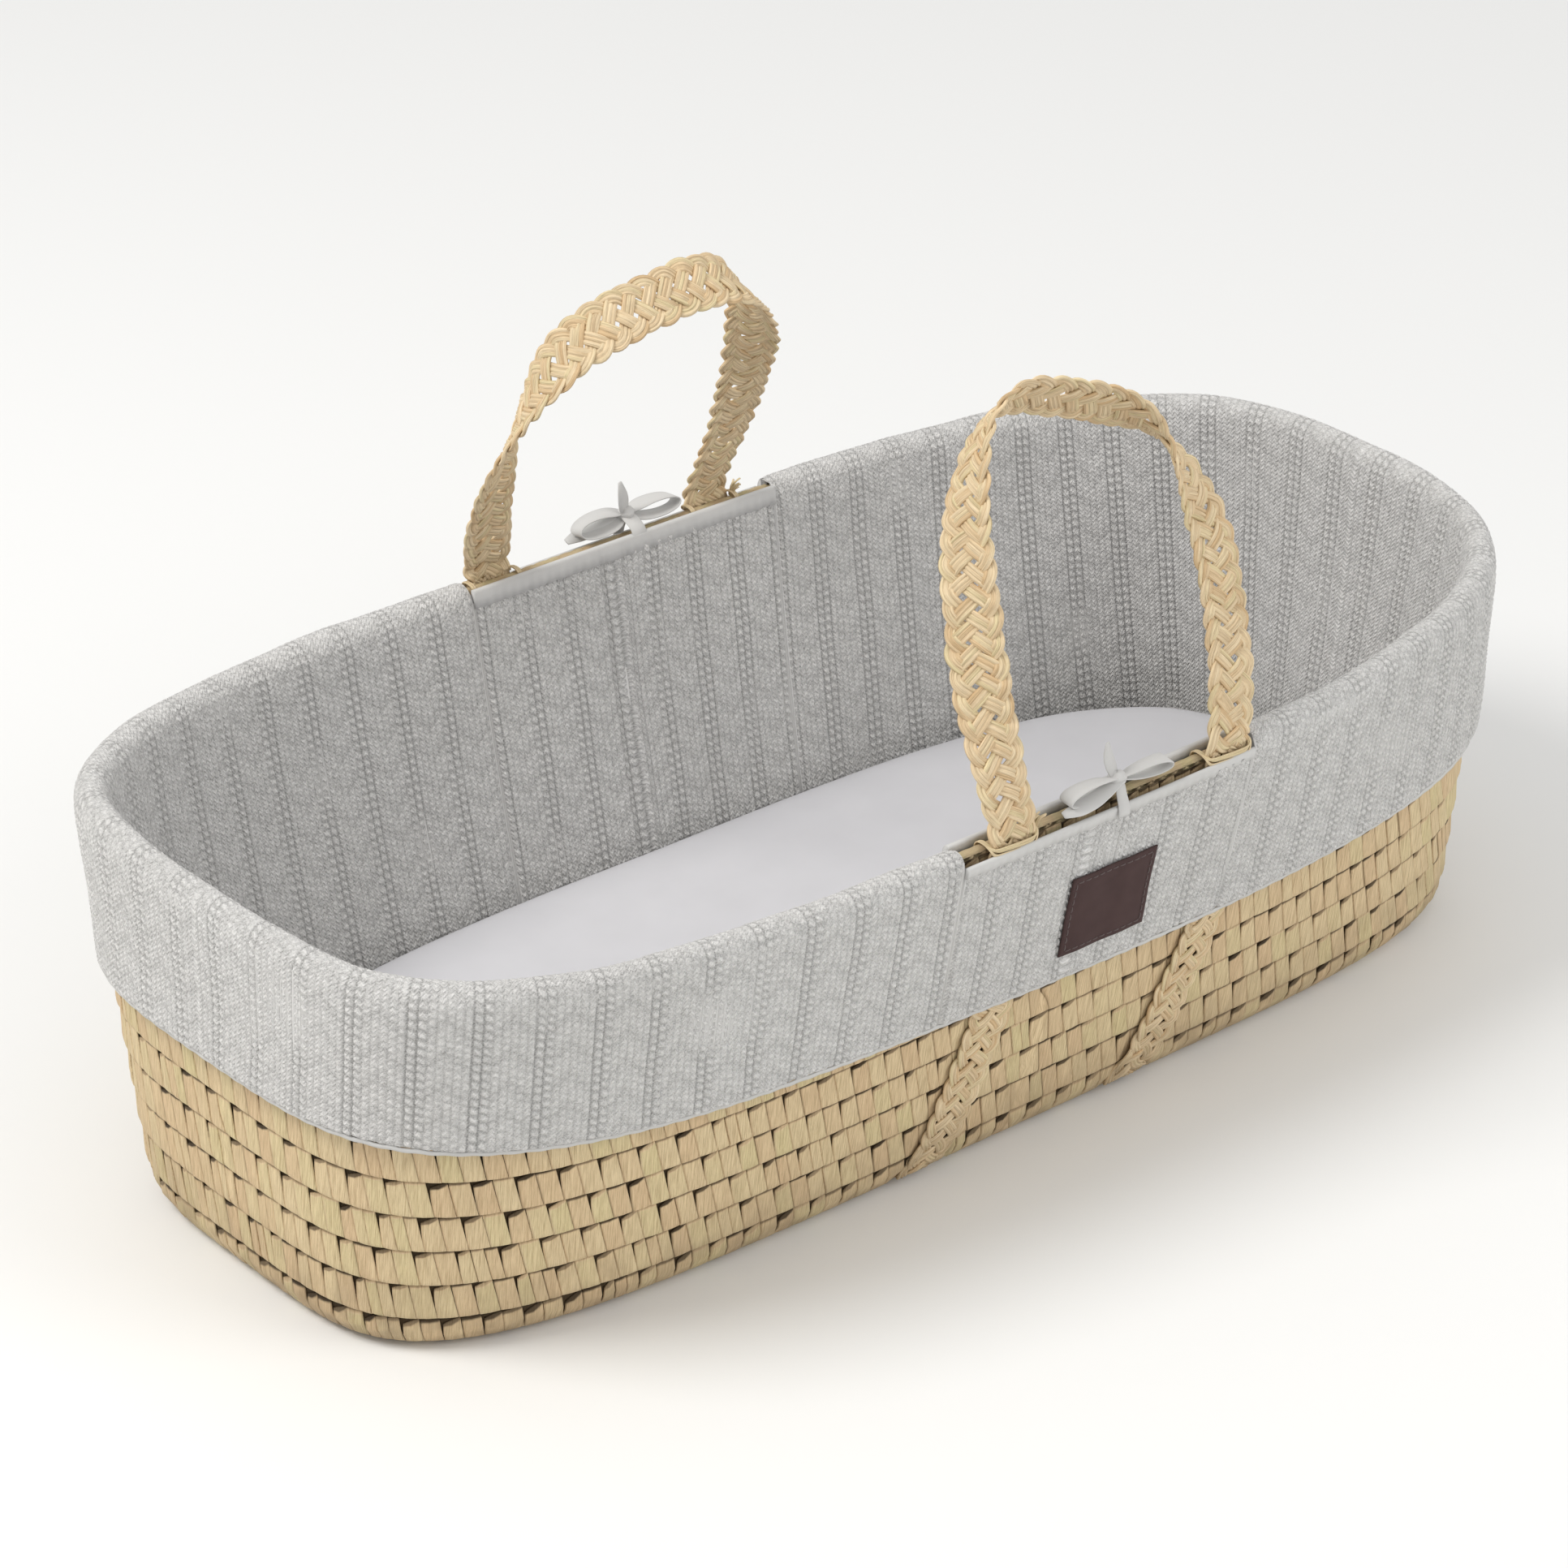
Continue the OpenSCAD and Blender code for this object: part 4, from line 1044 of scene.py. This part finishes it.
def lashing(side, name):
    """Raffia that sews a strap's top to the palm rim, and its loose ends."""
    rng = np.random.default_rng(SEED + 30 + side + 2 * len(name))
    rim = RIM_TOP_H * RIM_HEIGHT
    x = float(STRAPS[name][side][0])
    out = abs(wall_point(angle_at(x, side), RIM_TOP_H, STRAP_T + 1.2)[1])
    inner = abs(wall_point(angle_at(x, side), RIM_TOP_H, -WALL_T - 0.6)[1])
    middle = (inner + out) / 2
    mirror = [1, side, 1]
    parts = Parts()
    for k in range(3):
        half = STRAP_W / 2 + 0.6 - 1.2 * (k % 2)
        z = rim - 4.8 + 1.7 * k + rng.uniform(-0.3, 0.3)
        tilt = rng.uniform(-1.5, 1.5)
        over = [[inner, rim - 4], [inner, rim + 1.4], [middle, rim + 2.2], [out - 1, rim + 0.8]]
        path = [[x - half, *p] for p in over]
        path += [[x - half + 2, out, z - tilt], [x, out + 0.4, z], [x + half - 2, out, z + tilt]]
        path += [[x + half, *p] for p in over[::-1]]
        across = [[1, 0, 0]] * 4 + [[0, 0.2, 1]] * 3 + [[-1, 0, 0]] * 4
        ribbon(parts, np.array(path) * mirror, np.array(across) * mirror, 1.9, 0.5, rng.uniform(0.5, 1))
    tufts = 9 if (side, name) in ((NEAR, "foot"), (FAR, "head")) else 0
    for _ in range(tufts):
        start = [x + STRAP_W / 2 + rng.uniform(-1, 2), middle + rng.uniform(-2, 2), rim - 1]
        end = np.array(start) + [rng.uniform(1, 9), rng.uniform(-3, 4), rng.uniform(3, 9)]
        bend = (start + end) / 2 + [rng.uniform(-1, 1), 0, 3]
        path = np.array([start, bend, end]) * mirror
        ribbon(parts, path, [0, 1, 0.3], 1.1, 0.35, rng.uniform(0.6, 1), 0.8)
    place = f"{SIDE_NAMES[side]}_{name}"
    finish_piece(parts.build(f"raffia_{place}"), "palm_plait", f"lashing_{place}")


for course in range(COURSES):
    palm_course(course)
palm_base()
palm_rim()
for name in STRAPS:
    strap(name)
for side in (NEAR, FAR):
    handle(side)
    for name in STRAPS:
        lashing(side, name)


# ---- Bows ----

RIBBON_W, RIBBON_T = 10.0, 0.9
KNOT = np.array([BOW_X, HINGE_Y - 2, RIM_HEIGHT + 4.5])
KNOT_RADII = (5.4, 4.6, 4.0)


def bow_loop(parts, reach, rise, dip, side):
    """A loop of ribbon to one side of the knot; reach is how far along X it goes."""
    t = np.linspace(0, 2 * math.pi, 40)
    x = KNOT[0] + reach * (1 - np.cos(t)) / 2
    z = KNOT[2] + rise * np.sin(t) * np.sin(t / 2) ** 0.6 - dip * (1 - np.cos(t)) / 2
    y = KNOT[1] + 1.5 * np.sin(t)
    widths = RIBBON_W * mix(0.45, 1.0, smoothstep(0, 0.3, (1 - np.cos(t)) / 2))
    path = np.stack([x, y, z], axis=-1) * [1, side, 1]
    across = np.stack([0 * t, 1 + 0 * t, 0.35 - 0.5 * (1 - np.cos(t)) / 2], axis=-1) * [1, side, 1]
    ribbon(parts, path, across, widths, RIBBON_T, step=1.2)


def knot_ball(parts, side):
    """The knot: a small crumpled ball of ribbon."""
    turn, up = np.meshgrid(full_turn(28), np.linspace(-1.5, 1.5, 14))
    fold = 1 + 0.07 * np.sin(3 * turn + 2 * up) + 0.05 * np.sin(7 * up)
    ball = np.stack([np.cos(turn) * np.cos(up), np.sin(turn) * np.cos(up), np.sin(up)], axis=-1)
    points = (ball * KNOT_RADII * fold[..., None] + KNOT + [0, 0, 0.5]) * [1, side, 1]
    swept(points, np.stack([turn * 5, up * 5], axis=-1), 0.5, parts)


def bow(side):
    """A bow of two ribbons, each with its stem on one binding, one loop and one tail."""
    skirt_y = abs(wall_point(angle_at(BOW_X, side), SKIRT_BINDING_H, SKIRT_OUT + 1.8)[1])
    lining_y = abs(wall_point(angle_at(BOW_X, side), LINING_BINDING_H, LINING_IN - 1.0)[1])
    x, y, z = KNOT
    ribbons = {"skirt": Parts(), "lining": Parts()}

    def strip(part, path, across, widths):
        ribbon(ribbons[part], np.array(path) * [1, side, 1], across, widths, RIBBON_T)

    stem = [(skirt_y, 213.5), (skirt_y, 216), (skirt_y - 0.5, 220), (skirt_y - 3.5, 226)]
    stem += [(y + 3, z - 1), (y, z)]
    strip("skirt", [(x, *p) for p in stem], [1, 0, 0], [8, 8, 7.5, 7, 6, 5])
    bow_loop(ribbons["skirt"], -36, 6.0, 1.0, side)
    tail = [(2, 2, 1), (-9, 3, -2), (-20, 4, -4.5), (-31, 4, -6), (-40, 3, -6.5)]
    strip("skirt", KNOT + tail, [0, 1, 0.5], [5, 8, 9.5, 9, 4])
    stem = [(lining_y, 208), (lining_y, 219), (lining_y + 0.6, 226), (lining_y + 3, 229)]
    stem += [(y - 2, z - 0.5), (y, z)]
    strip("lining", [(x, *p) for p in stem], [1, 0, 0], RIBBON_W)
    bow_loop(ribbons["lining"], 37, 5.0, 1.5, side)
    tail = [(-1, 0, 1), (-3, -2, 8), (-5, -3, 15), (-6, -2, 22)]
    strip("lining", KNOT + tail, [1, 0.3, 0.1], [6, 10, 8.5, 2.5])
    knot_ball(ribbons["lining"], side)
    name = SIDE_NAMES[side]
    for part, parts in ribbons.items():
        obj = finish_piece(parts.build(f"bow_{name}_{part}"), "cotton_trim", f"tie_{name}_{part}")


for side in (NEAR, FAR):
    bow(side)


# ---- Label, wadding and floor of the cover ----

WADDING_OUT, WADDING_IN = -6.9, -8.7
WADDING_LEVELS = [0.12, 0.2, 0.3, 0.4, 0.5, 0.6, 0.7, 0.8, 0.87, 0.94]


def label_point(a, x, z, out):
    """A point out mm proud of the skirt, following its flare, with soft waves of the label's own."""
    height = rim_z(x)
    flare = skirt_flare(a, angle_to_length(a), z / height, hem_z(x) / height)
    waves = 0.25 * np.sin(x / 4.6) + 0.18 * np.sin(z / 7 + 1)
    return wall_point(a, z / height, SKIRT_OUT + out + flare + waves)


def near_angles(x, z):
    return np.vectorize(lambda px, pz: angle_at(px, NEAR, pz / RIM_HEIGHT))(x, z)


def label():
    """The blank sewn patch, dented along its stitches."""
    cols, rows = 33, 27
    u, v = np.meshgrid(np.linspace(-1, 1, cols), np.linspace(-1, 1, rows))
    x, z = LABEL_X + u * LABEL_W / 2, LABEL_Z + v * LABEL_H / 2
    a = near_angles(x, z)
    edge = np.minimum(1 - np.abs(u), 1 - np.abs(v)) * 25
    sewn = 0.45 * np.exp(-((edge - 3) ** 2) / 2) + 0.5 * np.exp(-edge / 0.8)
    layers = [label_point(a, x, z, 2.2 - sewn), label_point(a, x, z, 0.8)]
    total = rows * cols
    faces = grid_faces(rows, cols) + [f[::-1] for f in grid_faces(rows, cols, start=total)]
    rim = [*range(cols), *range(2 * cols - 1, total, cols), *range(total - 2, total - cols - 1, -1)]
    rim += list(range(total - 2 * cols, 0, -cols))
    faces += [[rim[k - 1], rim[k - 1] + total, rim[k] + total, rim[k]] for k in range(len(rim))]
    flat = np.stack([x, z], axis=-1).reshape(-1, 2)
    parts = Parts()
    parts.add(np.stack(layers), faces, np.concatenate([flat, flat]), 0.5)
    finish_piece(parts.build("label"), "label", "label_patch")


def label_stitches():
    half_w, half_h = LABEL_W / 2 - 3, LABEL_H / 2 - 3
    spots = [(mix(-half_w, half_w, (i + 0.5) / 11), z, 1, 0) for i in range(11) for z in (-half_h, half_h)]
    spots += [(x, mix(-half_h, half_h, (i + 0.5) / 9), 0, 1) for i in range(9) for x in (-half_w, half_w)]
    t = np.linspace(-1, 1, 7)
    parts = Parts()
    for dx, dz, along_x, along_z in spots:
        x, z = LABEL_X + dx + 1.8 * t * along_x, LABEL_Z + dz + 1.8 * t * along_z
        path = label_point(near_angles(x, z), x, z, 2.1 - 0.5 * t**4)
        ribbon(parts, path, [along_z, 0, along_x], 0.75, 0.6, step=0.6)
    finish_piece(parts.build("label_thread"), "label_thread", "label_stitches")


def wadding(name, span):
    """A closed layer between the palm wall and the lining, over a panel's share of the outline."""
    s = np.linspace(span[0] + 0.6, span[1] - 0.6, int((span[1] - span[0]) / 4))
    a = length_to_angle(s)
    swell = 0.2 * (np.sin(s / 19) + 0.5 * np.sin(s / 7.3 + 1))
    section = [(h, WADDING_OUT, 0.3) for h in WADDING_LEVELS]
    section += [(h, WADDING_IN, -1) for h in WADDING_LEVELS[::-1]]
    points = [wall_point(a, h + 0 * a, d + k * swell) for h, d, k in section]
    heights = np.array([h for h, _, _ in section]) * RIM_HEIGHT
    parts = Parts()
    swept(np.stack(points, axis=1), grid_uv(s[:, None], heights), 0.5, parts)
    pad = finish_piece(parts.build(f"wadding_{name}"), "wadding", f"padding_{name}")


def capped(rings, uv, parts, inside_out=False):
    """Adds a closed body of stacked rings whose first and last ring are closed straight across."""
    levels, around = rings.shape[:2]
    faces = grid_faces(levels, around, wrap_cols=True)
    for level, order in ((0, -1), (levels - 1, 1)):
        start = level * around
        for k in range(1, around // 2 - 1):
            quad = [start + k, start + k + 1, start + around - k - 1, start + around - k]
            faces.append(quad[::order])
        for tip in ([0, 1, around - 1], [around // 2 - 1, around // 2, around // 2 + 1]):
            faces.append([start + k for k in tip][::order])
    parts.add(rings, [f[::-1] for f in faces] if inside_out else faces, uv, 0.5)


def floor_cloth():
    a = full_turn(200)
    rings = []
    n = power(a, BASE_HEAD_POWER, BASE_FOOT_POWER)
    for inset, z in ((60, 8.4), (9.5, 8.4), (8.0, 9.1), (9.5, 9.8), (60, 9.8)):
        x, y = oval(a, BASE_LENGTH - 2 * inset, BASE_WIDTH - 2 * inset, n)
        rings.append(np.stack([x, y, z + 0 * x], axis=-1))
    rings = np.array(rings)
    parts = Parts()
    capped(rings, rings[..., :2], parts)
    cloth = finish_piece(parts.build("floor_cloth"), "cotton_trim", "cover_floor")


label()
label_stitches()
floor_cloth()
for name, span in SPANS.items():
    wadding(name, span)


# ---- Mattress ----

AROUND = 360
# Inset in mm and height of the sheet's outer face, from its elastic hem under the mattress to the crown
SHEET_LINE = [
    *((17.0, 10.9), (13.5, 10.4), (12.0, 10.9), (9.3, 12.0), (7.2, 14.5), (5.6, 18.5), (4.2, 24), (2.9, 30)),
    *((1.7, 36), (0.9, 40.5), (1.0, 44.0), (2.4, 47.2), (5.0, 49.6), (9.0, 51.0), (15, 51.6), (26, 51.9)),
    *((42, 52.2), (60, 52.4), (80, 52.5), (100, 52.6), (122, 52.6), (140, 52.6)),
]


def mattress_rings(line, shrink, wave):
    """Rings through (inset, height) pairs, moved inwards by shrink, with soft unevenness."""
    a = full_turn(AROUND)
    inset, z = (np.array(v)[:, None] for v in zip(*line))
    profile = np.concatenate([inset, z], axis=1)
    ahead = unit(np.gradient(profile, axis=0))
    inset = inset + shrink * np.abs(ahead[:, 1:2])
    z = z - shrink * np.clip(ahead[:, 0:1], -1, 1)
    side = np.exp(-((z - 40) ** 2) / 150)
    gathers = 0.5 * np.sin(46 * a + 2 * np.sin(7 * a)) + 0.35 * np.sin(29 * a + 1)
    pulled = wave * gathers * np.exp(-((z - 20) ** 2) / 120)
    drape = wave * side * (0.5 * np.sin(9 * a) + 0.4 * np.sin(14 * a + 2))
    size = 2 * (inset - pulled - drape)
    x, y = oval(a[None], MATTRESS_LENGTH - size, MATTRESS_WIDTH - size, MATTRESS_POWER)
    top = smoothstep(48, 51.5, z)
    z = z + top * wave * (0.6 * np.sin(x / 57 + 1) * np.cos(y / 39) + 0.3 * np.sin(x / 23 + y / 31))
    return np.stack([x, y, z + 0 * x], axis=-1)


def mattress_uv(rings):
    """A plan view, sheared a little so that the upright sides aren't all one line."""
    return rings[..., :2] + 0.6 * rings[..., 2:]


def mattress_layer(parts, foot_z, line_z, shrink, wave, inside_out=False):
    """Adds a body inside the sheet's line, with a flat underside."""
    rings = mattress_rings([(60, line_z), (30, line_z), *SHEET_LINE[2:]], shrink, wave)
    rings[:2, :, 2] = foot_z
    capped(rings, mattress_uv(rings), parts, inside_out)


def sheet_hem():
    """The elastic in the sheet's edge, under the mattress."""
    a = full_turn(AROUND)
    ring = []
    for k in full_turn(8):
        inset = 2 * (20.0 + 2.2 * math.cos(k))
        x, y = oval(a, MATTRESS_LENGTH - inset, MATTRESS_WIDTH - inset, MATTRESS_POWER)
        ring.append(np.stack([x, y, 10.9 + 0.45 * math.sin(k) + 0 * x], axis=-1))
    return cord_loop("sheet_hem", ring, a * 260, "mattress", "sheet_elastic")


def mattress():
    rings = [mattress_rings(SHEET_LINE, 0.8, 1.0)[::-1], mattress_rings(SHEET_LINE, 0.0, 1.0)]
    rings = np.concatenate(rings)
    cloth, case, core = Parts(), Parts(), Parts()
    capped(rings, mattress_uv(rings), cloth)
    sheet = finish_piece(cloth.build("sheet"), "sheet", "fitted_sheet", "mattress")
    mattress_layer(case, 11.4, 11.6, 1.0, 0.9)
    mattress_layer(case, 12.6, 12.8, 2.2, 0.8, inside_out=True)
    ticking = finish_piece(case.build("ticking"), "ticking", "mattress_ticking", "mattress")
    mattress_layer(core, 13.4, 13.5, 2.6, 0.7)
    foam = finish_piece(core.build("foam_core"), "foam", "mattress_core", "mattress")
    sheet_hem()


mattress()

# ---- Camera, floor and light ----

CAMERA_AT = Vector((-1.7738877, -1.9840167, 1.6005087))
CAMERA_YAW, CAMERA_PITCH, CAMERA_ROLL = 0.7204, -0.4987, 0.0212
CAMERA_LENS, SENSOR = 128.7, 36.0

FLOOR_HALF, FLOOR_Z = 9000.0, -0.5
WORLD_STRENGTH = 0.71
LAMP_AIM = Vector((0, 0, 0.1))


def camera():
    data = bpy.data.cameras.new("camera")
    data.lens, data.sensor_width = CAMERA_LENS, SENSOR
    data.clip_start, data.clip_end = 0.1, 50
    level = Vector((math.sin(CAMERA_YAW), math.cos(CAMERA_YAW), 0))
    ahead = math.cos(CAMERA_PITCH) * level + Vector((0, 0, math.sin(CAMERA_PITCH)))
    right = Vector((math.cos(CAMERA_YAW), -math.sin(CAMERA_YAW), 0))
    up = right.cross(ahead)
    turned = math.cos(CAMERA_ROLL) * right + math.sin(CAMERA_ROLL) * up
    up = -math.sin(CAMERA_ROLL) * right + math.cos(CAMERA_ROLL) * up
    obj = bpy.data.objects.new("camera", data)
    obj.matrix_world = Matrix.Translation(CAMERA_AT) @ Matrix((turned, up, -ahead)).transposed().to_4x4()
    bpy.context.scene.collection.objects.link(obj)
    bpy.context.scene.camera = obj


def area_light(name, place, size, watts, colour=(1, 1, 1)):
    data = bpy.data.lights.new(name, "AREA")
    data.shape, data.size, data.energy, data.color = "DISK", size, watts, colour
    obj = bpy.data.objects.new(name, data)
    obj.location = place
    obj.rotation_euler = (LAMP_AIM - Vector(place)).to_track_quat("-Z", "Y").to_euler()
    bpy.context.scene.collection.objects.link(obj)


def studio():
    corners = [(x * FLOOR_HALF, y * FLOOR_HALF, FLOOR_Z) for x, y in ((-1, -1), (1, -1), (1, 1), (-1, 1))]
    floor = make_mesh("floor", corners, [[0, 1, 2, 3]])
    material, _, shader = new_material("floor", 0.7)
    shader.inputs["Base Color"].default_value = (0.83, 0.83, 0.82, 1)
    floor.data.materials.append(material)
    world = bpy.data.worlds.new("studio")
    world.use_nodes = True
    world.node_tree.nodes["Background"].inputs["Color"].default_value = (1, 1, 1, 1)
    world.node_tree.nodes["Background"].inputs["Strength"].default_value = WORLD_STRENGTH
    bpy.context.scene.world = world
    area_light("key", (-2.2, 0.6, 3.0), 1.6, 76, (1, 0.985, 0.96))
    area_light("fill", (1.5, -3.0, 2.2), 2.5, 40)
    bpy.context.scene.view_settings.view_transform = "Standard"


camera()
studio()
